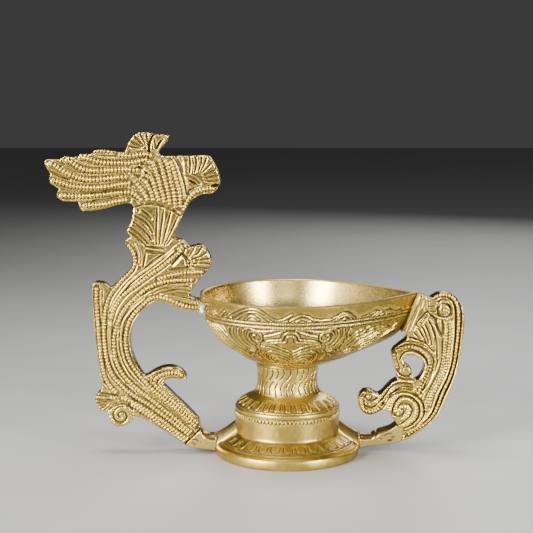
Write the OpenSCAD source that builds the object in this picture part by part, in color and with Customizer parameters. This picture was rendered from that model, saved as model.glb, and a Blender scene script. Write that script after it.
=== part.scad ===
// Brass table oil lamp: a teardrop bowl on a turned pedestal, with a flat cast
// bird-and-plume panel on one side and a flat cast scroll panel on the other.
// Units are millimetres. The floor is z = 0, the panels lie in the plane y = 0.

/* [Bowl] */
// Height of the bowl rim above the floor
rim_height = 78.8; // [70:0.1:90]
// Radius of the round part of the bowl at the rim
bowl_radius = 44; // [36:0.5:52]
// Distance from the bowl centre to the pointed tip at the rim
tip_reach = 61; // [52:0.5:72]
// Sideways offset of the bowl centre from the pedestal axis
bowl_shift = 2; // [0:0.5:5]
// Wall thickness at the rim
rim_wall = 2.2; // [1.5:0.1:4]
// Number of facets round the bowl
bowl_steps = 80; // [48:8:96]

/* [Pedestal] */
// Outer radius of the foot
foot_radius = 35; // [30:0.5:42]
// Height of the pedestal seat that carries the bowl
seat_height = 44.7; // [40:0.1:50]
// Radius of the seat
seat_radius = 15.3; // [13:0.1:20]
// Radius of the plain drum
drum_radius = 25.2; // [20:0.1:30]
// Distance of the two filed flats on the foot rim from the axis
foot_flat = 34.2; // [32:0.1:35]

/* [Panels] */
// Thickness of both cast panels and both foot arms
panel_thickness = 10; // [6:0.5:14]
// Curve segments drawn between two neighbouring outline points
outline_steps = 2; // [1:1:4]

/* [Joints] */
// Thickness of the braze layer at each end of the foot
foot_braze_gap = 0.8; // [0.4:0.1:1.5]
// Thickness of the braze layer at the bowl tip
tip_braze_gap = 1.2; // [0.6:0.1:2]
// Distance of the soldering pad on the bowl from the pedestal axis
pad_distance = 41.6; // [41:0.1:43]
// Thickness of the solder layer on that pad
solder_gap = 1; // [0.6:0.1:2]

/* [Fastening] */
// Nominal stud diameter
stud_diameter = 6; // [4:1:8]
// Radial clearance in the bored holes
bore_clearance = 0.35; // [0.3:0.05:0.6]
// Radius of the spigot under the bowl
spigot_radius = 8; // [6:0.5:10]
// Length of the spigot
spigot_length = 3; // [2:0.5:5]
// Width across the flats of the nut
nut_flats = 10; // [7:0.5:13]
// Height of the nut
nut_height = 5; // [3:0.5:7]
// Washer outer diameter
washer_diameter = 12; // [9:0.5:18]
// Washer thickness
washer_thickness = 1.6; // [1:0.2:2]

/* [Hidden] */
// Shift that puts the middle of the whole object over the origin.
axis_x = 15.06;
// Direction, from the bowl centre, where the round wall turns into the straight-sided tip.
tip_angle = 55;
deck_top = seat_height - spigot_length - 0.3;
deck_under = deck_top - 4.4;
nut_top = deck_under - washer_thickness;
nut_foot = nut_top - nut_height;
stud_foot = nut_foot - 1.6;
stud_top = seat_height + 2.7;
brass_pale = [0.83, 0.7, 0.4];
brass_dark = [0.7, 0.55, 0.28];
braze_tint = [0.66, 0.5, 0.24];
steel_tint = [0.62, 0.63, 0.65];

// ---- curve helpers ----

// One Catmull-Rom value between b and c.
function blend(a, b, c, d, t) =
    0.5 * ((2 * b) + (c - a) * t + (2 * a - 5 * b + 4 * c - d) * t * t
    + (3 * b - a - 3 * c + d) * t * t * t);

// Open smooth curve through the points, both ends kept.
function curve(p) = [
    for (i = [0:len(p) - 2])
        for (s = [0:outline_steps - 1])
            blend(p[max(i - 1, 0)], p[i], p[i + 1], p[min(i + 2, len(p) - 1)], s / outline_steps),
    p[len(p) - 1]
];

// Several smooth runs joined into one outline, with a crisp corner where two runs meet.
function chain(runs) = [
    for (run = runs)
        let (c = curve(run))
            for (i = [0:len(c) - 2])
                c[i]
];

// A flat plate with the given side outline, centred on y = 0.
module plate(outline, thickness = panel_thickness)
{
    rotate([90, 0, 0])
        linear_extrude(height = thickness, center = true)
            polygon(outline);
}

// ---- bowl ----

// Distance from the bowl centre to the wall in one direction: a circle of radius r,
// with two wide arcs that leave it at tip_angle and meet at the tip, k away.
function plan(r, k, turn) =
    let (side = abs(turn))
    side >= tip_angle ? r
    : let (
        shift = (k * k - r * r) / (2 * (r - k * cos(tip_angle))),
        along = shift * cos(side - tip_angle)
    )
    -along + sqrt(along * along + r * r + 2 * r * shift);

// Level curves [height, radius, tip distance], outside from the seat up, then inside down.
bowl_outside = [
    [seat_height, 16, 17],
    [46.4, 20, 23.2],
    [49, 24.8, 31.2],
    [52.3, 29.7, 39.8],
    [56, 34.4, 47.4],
    [60, 37.9, 52.8],
    [64.5, 40.6, 56.6],
    [69, 42.2, 58.8],
    [74, 43.3, 60.2],
    [rim_height - 0.7, bowl_radius, tip_reach],
    [rim_height, bowl_radius - 0.6, tip_reach - 0.8]
];
bowl_inside = [
    [rim_height, bowl_radius - rim_wall + 0.5, tip_reach - rim_wall - 0.5],
    [rim_height - 0.6, bowl_radius - rim_wall, tip_reach - rim_wall - 1],
    [74, 41, 56.6],
    [69, 39.7, 54.8],
    [64.5, 37.7, 52],
    [60, 34.7, 47.8],
    [56.5, 30.9, 42],
    [53.6, 26, 34],
    [51.4, 20, 24.5],
    [50.2, 13.5, 15]
];

function ring(level) = [
    for (i = [0:bowl_steps - 1])
        let (turn = i * 360 / bowl_steps, signed = turn > 180 ? turn - 360 : turn)
            [
                plan(level[1], level[2], signed) * cos(turn),
                plan(level[1], level[2], signed) * sin(turn),
                level[0]
            ]
];

module bowl_shell()
{
    levels = concat(bowl_outside, bowl_inside);
    rows = len(levels);
    n = bowl_steps;
    points = [for (level = levels) each ring(level)];
    walls = [
        for (j = [0:rows - 2])
            for (i = [0:n - 1])
                [j * n + i, (j + 1) * n + i, (j + 1) * n + (i + 1) % n, j * n + (i + 1) % n]
    ];
    floor_outside = [for (i = [0:n - 1]) i];
    floor_inside = [for (i = [n - 1:-1:0]) (rows - 1) * n + i];
    polyhedron(points, concat(walls, [floor_outside, floor_inside]), convexity = 6);
}

// The keel of the tip is ground flat along this line [x, z] where the scroll panel is brazed on.
keel_low = [54.2, 59];
keel_high = [62.2, 79.5];
keel_lean = atan2(keel_high[0] - keel_low[0], keel_high[1] - keel_low[1]);

// A slab lying on the ground keel, starting a distance away from it.
module keel_slab(away, thickness, from, to, width)
{
    translate([keel_low[0], 0, keel_low[1]])
        rotate([0, keel_lean, 0])
            translate([away, -width / 2, from])
                cube([thickness, width, to - from]);
}

module bowl()
{
    color(brass_pale)
        translate([axis_x, 0, 0])
            difference()
            {
                union()
                {
                    translate([bowl_shift, 0, 0])
                        bowl_shell();
                    // soldering pad for the arm of the bird panel
                    translate([-pad_distance, -3.6, 69.6])
                        cube([2.6, 7.2, 6]);
                    // turned spigot that centres the bowl in the pedestal
                    translate([0, 0, seat_height - spigot_length])
                        cylinder(h = spigot_length + 1, r = spigot_radius, $fn = 96);
                }
                keel_slab(0, 8, -12, 30, 30);
                // blind hole for the stud
                translate([0, 0, seat_height - spigot_length - 1])
                    cylinder(h = 7, d = stud_diameter + 2 * bore_clearance, $fn = 64);
            }
}

// ---- pedestal ----

pedestal_outside = [
    [foot_radius - 0.8, 0],
    [foot_radius - 0.2, 0.8],
    [foot_radius, 2.5],
    [foot_radius - 0.2, 4.2],
    [foot_radius - 0.9, 5.2],
    [33, 6.2],
    [30, 7.8],
    [27, 9.5],
    [drum_radius, 11],
    [drum_radius - 0.1, 13],
    [drum_radius, 20.8],
    [drum_radius - 0.5, 21.3],
    [drum_radius - 0.5, 21.9],
    [drum_radius, 22.3],
    [drum_radius + 0.1, 23],
    [drum_radius - 0.3, 23.9],
    [24, 25.4],
    [22.5, 26.6],
    [20, 28],
    [17.5, 29.1],
    [15.9, 30.6],
    [14.9, 32.6],
    [14.4, 35.5],
    [14.5, 39],
    [14.8, 42],
    [seat_radius, seat_height]
];
pedestal_inside = [
    [spigot_radius + bore_clearance, seat_height],
    [spigot_radius + bore_clearance, deck_top],
    [stud_diameter / 2 + bore_clearance, deck_top],
    [stud_diameter / 2 + bore_clearance, deck_under],
    [11, deck_under],
    [11, 31],
    [14.5, 27],
    [20.5, 25],
    [22.2, 22],
    [22.2, 10],
    [27, 6],
    [31.4, 2.6],
    [31.4, 0]
];

// Web that carries each foot arm: from the drum wall down to the filed flat, [x, z] on the + side.
web_outline = [
    [23.6, 16.6],
    [24.9, 16.2],
    [26, 15.2],
    [28, 13.7],
    [30, 12.3],
    [32, 11],
    [foot_flat, 9.8],
    [foot_flat, 3],
    [31, 5.2],
    [27.5, 8],
    [23.6, 10.6]
];

module pedestal()
{
    color(brass_dark)
        translate([axis_x, 0, 0])
            difference()
            {
                union()
                {
                    rotate_extrude($fn = 128)
                        polygon(concat(pedestal_outside, pedestal_inside));
                    plate(web_outline);
                    mirror([1, 0, 0])
                        plate(web_outline);
                }
                // flats filed on the rim where the two foot arms are brazed on
                for (side = [-1, 1])
                    translate([side * (foot_flat + 5), 0, 5])
                        cube([10, 30, 14], center = true);
            }
}

// ---- bird panel ----

left_seam = [[-42, 13.3], [-49.5, 4.6]];
bird_tail = [
    [-107.5, 142], [-105, 143.6], [-101, 142.9], [-98, 144.5], [-94.5, 144.3], [-92, 145.2],
    [-90, 146.6], [-84, 146.3], [-80, 145.6], [-77, 145.3]
];
bird_crest = [
    [-77, 145.3], [-75.3, 149.3], [-73, 152.8], [-70.5, 154.5], [-67.5, 154.8], [-65, 154.6],
    [-62.3, 153.6], [-59, 153.7], [-56, 153.3]
];
bird_neck = [[-56, 153.3], [-57, 150.3], [-59.3, 148], [-61.2, 145.3], [-60.3, 143.9]];
bird_head = [
    [-60.3, 143.9], [-56, 143.7], [-50, 143.7], [-44, 143.8], [-38.5, 144], [-36.2, 142.6],
    [-34.2, 139.2], [-32.6, 135.6], [-31.7, 131.5]
];
bird_beak = [[-31.7, 131.5], [-32.2, 130.3], [-32.9, 129], [-34.6, 127], [-37, 126.1], [-40, 126.1]];
bird_breast = [
    [-40, 126.1], [-43, 124.7], [-46, 122.3], [-48.7, 118], [-50.5, 114.5], [-52.2, 110.8],
    [-53.9, 106.6], [-54, 104.9]
];
bird_fork = [
    [-54, 104.9], [-52, 104.2], [-50, 103.9], [-48, 102.2], [-46.4, 100.8], [-43, 101.6],
    [-40.8, 101.3], [-39, 99.9], [-37.2, 96.8], [-36.3, 94.5]
];
bird_fan = [
    [-36.3, 94.5], [-36.8, 91.6], [-38.5, 89.3], [-41, 86.5], [-43.6, 83.4], [-45.6, 80.2],
    [-46.9, 77.8], [-46, 76.2]
];
bird_arm_top = [[-46, 76.2], [-44.4, 75.6], [-pad_distance - solder_gap, 75.3]];
bird_arm_end = [[-pad_distance - solder_gap, 75.3], [-pad_distance - solder_gap, 70]];
bird_curl = [
    [-pad_distance - solder_gap, 70], [-46, 70.3], [-50, 70.8], [-53.5, 71.9], [-57, 73.6],
    [-60.5, 74.5], [-64, 74], [-67.5, 72.1], [-70.5, 69], [-73.2, 64.7], [-75, 59.8], [-75.5, 54.5],
    [-74.8, 49.6], [-73, 44.5], [-71.2, 41.3], [-69.5, 38.7], [-68.2, 38]
];
bird_tendril = [
    [-68.2, 38], [-66, 39.4], [-63, 41.3], [-59.8, 42.4], [-56.5, 42.7], [-53.2, 42.1],
    [-50.4, 40.4], [-48.8, 38.3], [-48.4, 37]
];
bird_tendril_under = [
    [-48.4, 37], [-50.5, 36.6], [-53.5, 37.2], [-56.5, 37.2], [-58.8, 36.3], [-59.8, 34.6],
    [-58.9, 32.8], [-56, 30], [-52, 26], [-48, 22], [-45, 19], [-42.8, 16.6], left_seam[0]
];
bird_keel = [
    left_seam[1], [-52, 6.6], [-56, 9.3], [-60, 11.6], [-64, 14.2], [-68, 16.7], [-71, 18.2],
    [-73.6, 18.4]
];
bird_spiral = [
    [-73.6, 18.4], [-74.3, 17.1], [-76, 15.4], [-78.5, 14], [-81.3, 13.5], [-83.8, 14.3],
    [-85.3, 16.1], [-86, 18.6], [-86.6, 20.9]
];
bird_shell = [
    [-86.6, 20.9], [-88.4, 21.2], [-90.3, 22], [-91.8, 23.8], [-92.6, 26.2], [-92.3, 28.4],
    [-91.2, 30], [-89.7, 31.4], [-89.3, 33]
];
bird_back = [
    [-89.3, 33], [-89.4, 36], [-90, 40], [-90.8, 45.5], [-91.5, 52], [-92.2, 60], [-92.7, 70],
    [-93, 80.5], [-92.2, 83.3], [-90, 83.6], [-87.3, 82.9], [-84.6, 80.8]
];
bird_haunch = [
    [-84.6, 80.8], [-81.5, 83.5], [-78, 87], [-74.7, 90.4], [-73.6, 93.7], [-74.3, 97.2],
    [-76.3, 100.8], [-77.3, 102.6]
];
bird_flank = [[-77.3, 102.6], [-76.2, 104.6], [-74.6, 105.8], [-75.7, 107.4], [-76.4, 108.7]];
bird_wing = [
    [-76.4, 108.7], [-74.8, 111], [-73.5, 114.2], [-73, 118], [-73.1, 120.4], [-74.4, 121.5],
    [-77, 121.5], [-81, 120.7], [-86, 119.2], [-91, 118.2], [-95, 118], [-97.3, 118.1],
    [-98.4, 120], [-99, 122.4]
];
bird_feather_low = [
    [-99, 122.4], [-103, 122.6], [-106.2, 122.8], [-108.6, 124.2], [-108.9, 125.9], [-107.9, 128.4]
];
bird_feather_mid = [
    [-107.9, 128.4], [-109.8, 129.7], [-111.8, 130.9], [-112.5, 132.9], [-111.7, 135.3]
];
bird_feather_top = [
    [-111.7, 135.3], [-113.2, 137.7], [-114.5, 140.4], [-114, 142.1], [-111, 142], [-107.5, 142]
];
bird_outline = chain([
    bird_tail, bird_crest, bird_neck, bird_head, bird_beak, bird_breast, bird_fork, bird_fan,
    bird_arm_top, bird_arm_end, bird_curl, bird_tendril, bird_tendril_under, left_seam, bird_keel,
    bird_spiral, bird_shell, bird_back, bird_haunch, bird_flank, bird_wing, bird_feather_low,
    bird_feather_mid, bird_feather_top
]);

module bird_panel()
{
    color(brass_pale)
        translate([axis_x, 0, 0])
            plate(bird_outline);
}

// ---- scroll panel ----

// Point on the panel side of the tip braze, at a height above the floor.
function beside_keel(z) = [
    keel_low[0] + (z - keel_low[1]) * tan(keel_lean) + tip_braze_gap / cos(keel_lean),
    z
];
right_seam = [[54.6, 6.2], [55.8, 9.6], [54.8, 12.6], [52.6, 15]];
scroll_crown = [
    beside_keel(77.4), [64.6, 77.3], [66.3, 76.8], [67.8, 76.2], [69.3, 76.7], [71.2, 77.9],
    [73.3, 78.6], [75.6, 78.8], [77.6, 78.4], [79.3, 77.5], [81, 75.8], [82.4, 73.6], [83.5, 71],
    [84.1, 68]
];
scroll_back = [
    [84.1, 68], [84.4, 64.5], [84.3, 61], [83.9, 57], [83.4, 53], [82.8, 49], [82, 45.5],
    [81.2, 42], [80.2, 38], [79.1, 34], [77.8, 30.5], [76.2, 26.8], [74.3, 23], [72, 19],
    [69.3, 15.6], [66.3, 12.7], [63, 10.2], [60, 8.3], [57.2, 7], right_seam[0]
];
scroll_spiral = [
    right_seam[3], [51.6, 16.7], [50.4, 18.2], [49.6, 20], [48.6, 21.3], [47, 21.7], [45.2, 21.4]
];
scroll_hook = [
    [45.2, 21.4], [43.4, 20.4], [41.4, 19.5], [39.2, 19.3], [37, 20.1], [35.2, 22], [34.3, 24.4],
    [34.2, 26.8], [35, 29.1], [36.7, 30.6], [38.9, 31], [40.9, 30.5], [42.5, 29.4], [43.9, 29]
];
scroll_shoulder = [
    [43.9, 29], [45.4, 29.9], [47.2, 31.9], [49.2, 34], [51, 35.4], [52.6, 36.3]
];
scroll_strap = [
    [52.6, 36.3], [52.8, 38], [52.3, 40.4], [51.6, 43], [50.8, 45.8], [50.1, 48], [50.1, 49.9],
    [51.2, 51.6], [53, 53.1], [55.2, 54.7], [57, 56.4], [57.4, 58], [56.7, 59.3], beside_keel(60.3)
];
scroll_tip_joint = [beside_keel(60.3), beside_keel(77.4)];
scroll_outline = chain([
    scroll_crown, scroll_back, [right_seam[0], right_seam[1]], [right_seam[1], right_seam[2]],
    [right_seam[2], right_seam[3]], scroll_spiral, scroll_hook, scroll_shoulder, scroll_strap,
    scroll_tip_joint
]);
scroll_eye = chain([
    [
        [61.8, 35.8], [60.9, 36.8], [60.3, 38.4], [60, 40.2], [59.5, 41.7], [58.3, 42.9],
        [56.8, 43.9], [55.8, 45.2], [55.7, 46.7], [56.5, 47.9], [58.3, 48.6], [60.6, 48.4],
        [62.8, 47.7], [64.7, 46.5], [65.8, 44.9], [65.9, 42.8], [65.3, 40.4], [64.3, 38.2],
        [63.2, 36.7], [61.8, 35.8]
    ]
]);

module scroll_panel()
{
    color(brass_pale)
        translate([axis_x, 0, 0])
            difference()
            {
                plate(scroll_outline);
                plate(scroll_eye, panel_thickness + 2);
            }
}

// ---- foot arms ----

arm_end = foot_flat + foot_braze_gap;
left_arm_outline = chain([
    [left_seam[1], left_seam[0]],
    [left_seam[0], [-41.3, 11.8], [-40.2, 10.5], [-38.7, 9.8], [-36.8, 9.5], [-arm_end, 9.6]],
    [[-arm_end, 9.6], [-arm_end, 1.5]],
    [[-arm_end, 1.5], [-37, 2], [-40, 2.3], [-43.5, 2.7], [-46.8, 3.2], left_seam[1]]
]);
right_arm_outline = chain([
    [right_seam[3], right_seam[2]],
    [right_seam[2], right_seam[1]],
    [right_seam[1], right_seam[0]],
    [right_seam[0], [51, 5.2], [47, 4.6], [43, 4.1], [39, 3.8], [37, 3.3], [arm_end, 2.6]],
    [[arm_end, 2.6], [arm_end, 9.6]],
    [[arm_end, 9.6], [37.5, 9.4], [40.9, 9.4]],
    [[40.9, 9.4], [41.9, 10.4], [43.4, 10.5]],
    [[43.4, 10.5], [44, 11.4], [46, 12], [48.5, 12.7], [50.8, 13.7], right_seam[3]]
]);

module left_foot_arm()
{
    color(brass_pale)
        translate([axis_x, 0, 0])
            plate(left_arm_outline);
}

module right_foot_arm()
{
    color(brass_dark)
        translate([axis_x, 0, 0])
            plate(right_arm_outline);
}

// ---- fastening under the bowl ----

module centre_stud()
{
    chamfer = 0.6;
    radius = stud_diameter / 2;
    color(steel_tint)
        translate([axis_x, 0, 0])
            rotate_extrude($fn = 64)
                polygon([
                    [0, stud_foot],
                    [radius - chamfer, stud_foot],
                    [radius, stud_foot + chamfer],
                    [radius, stud_top - chamfer],
                    [radius - chamfer, stud_top],
                    [0, stud_top]
                ]);
}

module stud_washer()
{
    color(steel_tint)
        translate([axis_x, 0, nut_top])
            difference()
            {
                cylinder(h = washer_thickness, d = washer_diameter, $fn = 64);
                translate([0, 0, -1])
                    cylinder(h = washer_thickness + 2, d = stud_diameter + 2 * bore_clearance, $fn = 64);
            }
}

module stud_nut()
{
    across_corners = nut_flats / cos(30);
    color(steel_tint)
        translate([axis_x, 0, nut_foot])
            difference()
            {
                cylinder(h = nut_height, d = across_corners, $fn = 6);
                translate([0, 0, -1])
                    cylinder(h = nut_height + 2, d = stud_diameter + 2 * bore_clearance, $fn = 64);
            }
}

// ---- braze and solder ----

module left_arm_solder()
{
    color(steel_tint)
        translate([axis_x - pad_distance - solder_gap, -3.6, 70])
            cube([solder_gap, 7.2, 5.3]);
}

module bowl_tip_braze()
{
    color(braze_tint)
        translate([axis_x, 0, 0])
            intersection()
            {
                keel_slab(0, tip_braze_gap, -2, 24, panel_thickness);
                translate([45, -10, 60.3])
                    cube([30, 20, 17.1]);
            }
}

module foot_braze(side, low, high)
{
    color(braze_tint)
        translate([axis_x + (side > 0 ? foot_flat : -foot_flat - foot_braze_gap), 0, low])
            translate([0, -panel_thickness / 2, 0])
                cube([foot_braze_gap, panel_thickness, high - low]);
}

module left_foot_braze()
{
    foot_braze(-1, 1.5, 9.6);
}

module right_foot_braze()
{
    foot_braze(1, 2.6, 9.6);
}

bowl();
pedestal();
bird_panel();
scroll_panel();
left_foot_arm();
right_foot_arm();
centre_stud();
stud_washer();
stud_nut();
left_arm_solder();
bowl_tip_braze();
left_foot_braze();
right_foot_braze();
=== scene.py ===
"""Looks for the brass table oil lamp: relief castings, chased bowl and pedestal, materials, studio.

Places are in mm from the pedestal's axis and the floor, until make_object turns them into metres.
"""

import math
from collections import namedtuple

import bpy
import numpy as np
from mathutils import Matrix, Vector


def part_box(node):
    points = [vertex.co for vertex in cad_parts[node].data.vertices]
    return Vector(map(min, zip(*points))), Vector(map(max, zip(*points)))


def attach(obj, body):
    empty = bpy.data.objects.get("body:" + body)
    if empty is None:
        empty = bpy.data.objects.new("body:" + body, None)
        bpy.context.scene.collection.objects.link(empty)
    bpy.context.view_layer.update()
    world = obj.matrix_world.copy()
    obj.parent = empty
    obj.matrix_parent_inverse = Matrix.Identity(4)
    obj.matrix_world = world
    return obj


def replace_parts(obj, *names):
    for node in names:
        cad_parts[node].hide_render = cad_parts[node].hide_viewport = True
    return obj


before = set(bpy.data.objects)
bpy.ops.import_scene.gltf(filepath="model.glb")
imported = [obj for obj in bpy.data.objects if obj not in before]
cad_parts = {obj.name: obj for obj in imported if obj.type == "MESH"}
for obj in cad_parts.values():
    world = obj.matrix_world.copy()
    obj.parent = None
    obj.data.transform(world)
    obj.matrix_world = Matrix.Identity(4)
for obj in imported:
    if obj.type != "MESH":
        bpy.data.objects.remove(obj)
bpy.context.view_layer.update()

MM = 0.001
_low, _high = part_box("pedestal")
AXIS_X = (_low[0] + _high[0]) / 2 / MM  # pedestal axis, in mm from the origin
RNG = np.random.default_rng(7)  # one stream for every uneven surface, drawn in the order of this file
FAR = 1e9  # mm: where no line is near; -FAR is lower than any relief


# ---------------------------------------------------------------- helpers

def pts(text):
    """Rows of numbers written as 'a,b a,b ...', mostly x,z points in mm."""
    return np.array([[float(v) for v in p.split(",")] for p in text.split()])


def smooth_line(p, n=5):
    """Catmull-Rom curve through the points, n pieces a span."""
    p = np.asarray(p, float)
    if len(p) < 3:
        return p
    q = np.vstack([2 * p[0] - p[1], p, 2 * p[-1] - p[-2]])
    t = np.linspace(0, 1, n, endpoint=False)[:, None]
    out = []
    for a, b, c, d in zip(q[:-3], q[1:-2], q[2:-1], q[3:]):
        out.append(0.5 * (2 * b + (c - a) * t + (2 * a - 5 * b + 4 * c - d) * t ** 2
                          + (3 * b - a - 3 * c + d) * t ** 3))
    out.append(p[-1:])
    return np.vstack(out)


def lines_of(block):
    """One smooth line for each row of a block of text."""
    return [smooth_line(pts(row)) for row in block.strip().splitlines()]


def arc(cx, cz, r, a0, a1, n, grow=0.0):
    """Circular or spiral arc; angles in degrees, anticlockwise from +x, radius r to r + grow."""
    a = np.radians(np.linspace(a0, a1, n))
    rr = r + grow * np.linspace(0, 1, n)
    return np.column_stack([cx + rr * np.cos(a), cz + rr * np.sin(a)])


def blur(a, radius):
    """Separable box blur, twice, by cumulative sums."""
    k = int(radius)
    for _ in range(2):
        for axis in (0, 1):
            pad = [(0, 0), (0, 0)]
            pad[axis] = (k + 1, k)
            c = np.cumsum(np.pad(a, pad, mode="edge"), axis=axis)
            n = a.shape[axis]
            hi = np.take(c, np.arange(2 * k + 1, 2 * k + 1 + n), axis=axis)
            lo = np.take(c, np.arange(0, n), axis=axis)
            a = (hi - lo) / (2 * k + 1)
    return a


def value_noise(shape, cell):
    """Smooth random field, about -1 to 1, with features about `cell` samples wide."""
    coarse = RNG.normal(size=(shape[0] // cell + 3, shape[1] // cell + 3))
    i = np.arange(shape[0]) / cell
    j = np.arange(shape[1]) / cell
    i0, j0 = i.astype(int), j.astype(int)
    fi, fj = i - i0, j - j0
    fi, fj = fi * fi * (3 - 2 * fi), fj * fj * (3 - 2 * fj)
    a = coarse[i0][:, j0]
    b = coarse[i0 + 1][:, j0]
    c = coarse[i0][:, j0 + 1]
    d = coarse[i0 + 1][:, j0 + 1]
    fi, fj = fi[:, None], fj[None, :]
    return ((a * (1 - fi) + b * fi) * (1 - fj) + (c * (1 - fi) + d * fi) * fj) * 0.6


def make_object(name, verts_mm, polys, attrs, material):
    """Mesh from numpy: verts in mm from the pedestal axis, polys a list of index arrays (m, k)."""
    verts = np.asarray(verts_mm, float).copy()
    verts[:, 0] += AXIS_X
    verts *= MM
    mesh = bpy.data.meshes.new(name)
    loops = np.concatenate([p.ravel() for p in polys]).astype(np.int32)
    sizes = np.concatenate([np.full(len(p), p.shape[1]) for p in polys])
    starts = np.concatenate([[0], np.cumsum(sizes)[:-1]]).astype(np.int32)
    mesh.vertices.add(len(verts))
    mesh.vertices.foreach_set("co", verts.astype(np.float32).ravel())
    mesh.loops.add(len(loops))
    mesh.loops.foreach_set("vertex_index", loops)
    mesh.polygons.add(len(sizes))
    mesh.polygons.foreach_set("loop_start", starts)
    mesh.polygons.foreach_set("use_smooth", np.ones(len(sizes), bool))
    mesh.update(calc_edges=True)
    mesh.validate()
    for key, values in attrs.items():
        layer = mesh.attributes.new(name=key, type="FLOAT", domain="POINT")
        layer.data.foreach_set("value", np.asarray(values, np.float32))
    obj = bpy.data.objects.new(name, mesh)
    bpy.context.scene.collection.objects.link(obj)
    mesh.materials.append(material)
    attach(obj, "root")
    return obj


# ---------------------------------------------------------------- height fields

class Field:
    """A regular grid of heights in mm, drawn on with ribs, beads, grooves and patches."""

    def __init__(self, x0, x1, z0, z1, step, base):
        self.step = step
        self.xs = np.arange(x0, x1 + step, step)
        self.zs = np.arange(z0, z1 + step, step)
        self.h = np.full((len(self.xs), len(self.zs)), float(base))

    def window(self, p, reach):
        """Grid indices of the box round some points, widened by reach."""
        i0 = max(int((p[:, 0].min() - reach - self.xs[0]) / self.step), 0)
        i1 = min(int((p[:, 0].max() + reach - self.xs[0]) / self.step) + 2, len(self.xs))
        j0 = max(int((p[:, 1].min() - reach - self.zs[0]) / self.step), 0)
        j1 = min(int((p[:, 1].max() + reach - self.zs[0]) / self.step) + 2, len(self.zs))
        return i0, i1, j0, j1

    def near(self, line, reach):
        """Distance to a line and length along it, for the part of the grid near it."""
        i0, i1, j0, j1 = self.window(line, reach)
        if i1 <= i0 or j1 <= j0:
            return None
        dist = np.full((i1 - i0, j1 - j0), FAR)
        along = np.zeros_like(dist)
        total = 0.0
        for a, b in zip(line[:-1], line[1:]):
            ab = b - a
            length = float(np.hypot(*ab))
            if length < 1e-9:
                continue
            k0, k1, m0, m1 = self.window(np.array([a, b]), reach)
            k0, k1, m0, m1 = max(k0, i0), min(k1, i1), max(m0, j0), min(m1, j1)
            if k1 > k0 and m1 > m0:
                x = self.xs[k0:k1, None] - a[0]
                z = self.zs[None, m0:m1] - a[1]
                t = np.clip((x * ab[0] + z * ab[1]) / length ** 2, 0, 1)
                d = np.hypot(x - t * ab[0], z - t * ab[1])
                part = (slice(k0 - i0, k1 - i0), slice(m0 - j0, m1 - j0))
                closer = d < dist[part]
                dist[part][closer] = d[closer]
                along[part][closer] = (total + t * length)[closer]
            total += length
        return (slice(i0, i1), slice(j0, j1)), dist, along, total

    def rib(self, line, w, top, tall):
        """A round-backed rib along a line, w to each side of it."""
        found = self.near(line, w)
        if found:
            part, d, _, _ = found
            cap = np.sqrt(np.clip(1 - (d / w) ** 2, 0, 1))
            self.h[part] = np.maximum(self.h[part], np.where(d < w, top - tall * (1 - cap), -FAR))

    def beads(self, line, w, top, tall=1.3, pitch=1.35, fill=0.04):
        """A row of beads along a line; fill is the height of the cord between them."""
        found = self.near(line, w)
        if found:
            part, d, s, total = found
            count = max(round(total / pitch), 1)
            u = (s / total * count) % 1.0 * 2 - 1
            v = d / w
            bump = np.sqrt(np.clip(1 - v ** 2 * 0.95 - np.abs(u) ** 2.4, 0, 1))
            cord = np.sqrt(np.clip(1 - v ** 2, 0, 1)) * fill
            h = np.where(d < w, top - tall * (1 - np.maximum(bump, cord)), -FAR)
            self.h[part] = np.maximum(self.h[part], h)

    def moat(self, line, w, deep, soft=0.34, floor=-1.25):
        """Sinks a thin dark outline round where a rib or bead row will stand."""
        found = self.near(line, w + 2.2 * soft)
        if found:
            part, d, _, _ = found
            cut = np.where(d < FAR, deep * np.exp(-(np.maximum(d - w, 0) / soft) ** 2 * 1.2), 0)
            self.h[part] = np.maximum(self.h[part] - cut, np.minimum(self.h[part], floor))

    def groove(self, line, w, deep, taper=0.0):
        """A cut along a line; with a taper it narrows towards both ends."""
        found = self.near(line, w * 1.6)
        if found:
            part, d, s, total = found
            ww = w * (1 - taper * np.clip(np.abs(2 * s / total - 1), 0, 1) ** 2) if taper else w
            self.h[part] -= np.where(d < FAR, deep * np.exp(-(d / ww) ** 2 * 1.4), 0)

    def grooves(self, lines, **cut):
        for line in lines:
            self.groove(line, **cut)

    def ticks(self, cx, cz, inner, outer, angles, **cut):
        """Short radial cuts round a centre, from one radius to another."""
        for a in angles:
            c, q = math.cos(math.radians(a)), math.sin(math.radians(a))
            self.groove(np.array([[cx + inner * c, cz + inner * q], [cx + outer * c, cz + outer * q]]), **cut)

    def hatch(self, line, step, count, **cut):
        """The same short cut again and again, moved on by a step each time."""
        for k in range(count):
            self.groove(pts(line) + k * np.array(step), **cut)

    def inside(self, loop):
        """Even-odd mask of the grid points inside a closed loop, row by row."""
        mask = np.zeros(self.h.shape, bool)
        a, b = loop, np.roll(loop, -1, axis=0)
        for j, z in enumerate(self.zs):
            hit = (a[:, 1] > z) != (b[:, 1] > z)
            if hit.any():
                x = a[hit, 0] + (z - a[hit, 1]) / (b[hit, 1] - a[hit, 1]) * (b[hit, 0] - a[hit, 0])
                mask[:, j] = np.searchsorted(np.sort(x), self.xs) % 2 == 1
        return mask

    def patch(self, corners, level):
        """Levels the ground inside a smooth loop, with a soft edge."""
        loop = smooth_line(np.vstack([corners, corners[:1]]), 4)[:-1]
        mask = blur(self.inside(loop).astype(float), max(round(0.25 / self.step), 1))
        self.h = self.h * (1 - mask) + level * mask

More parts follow.
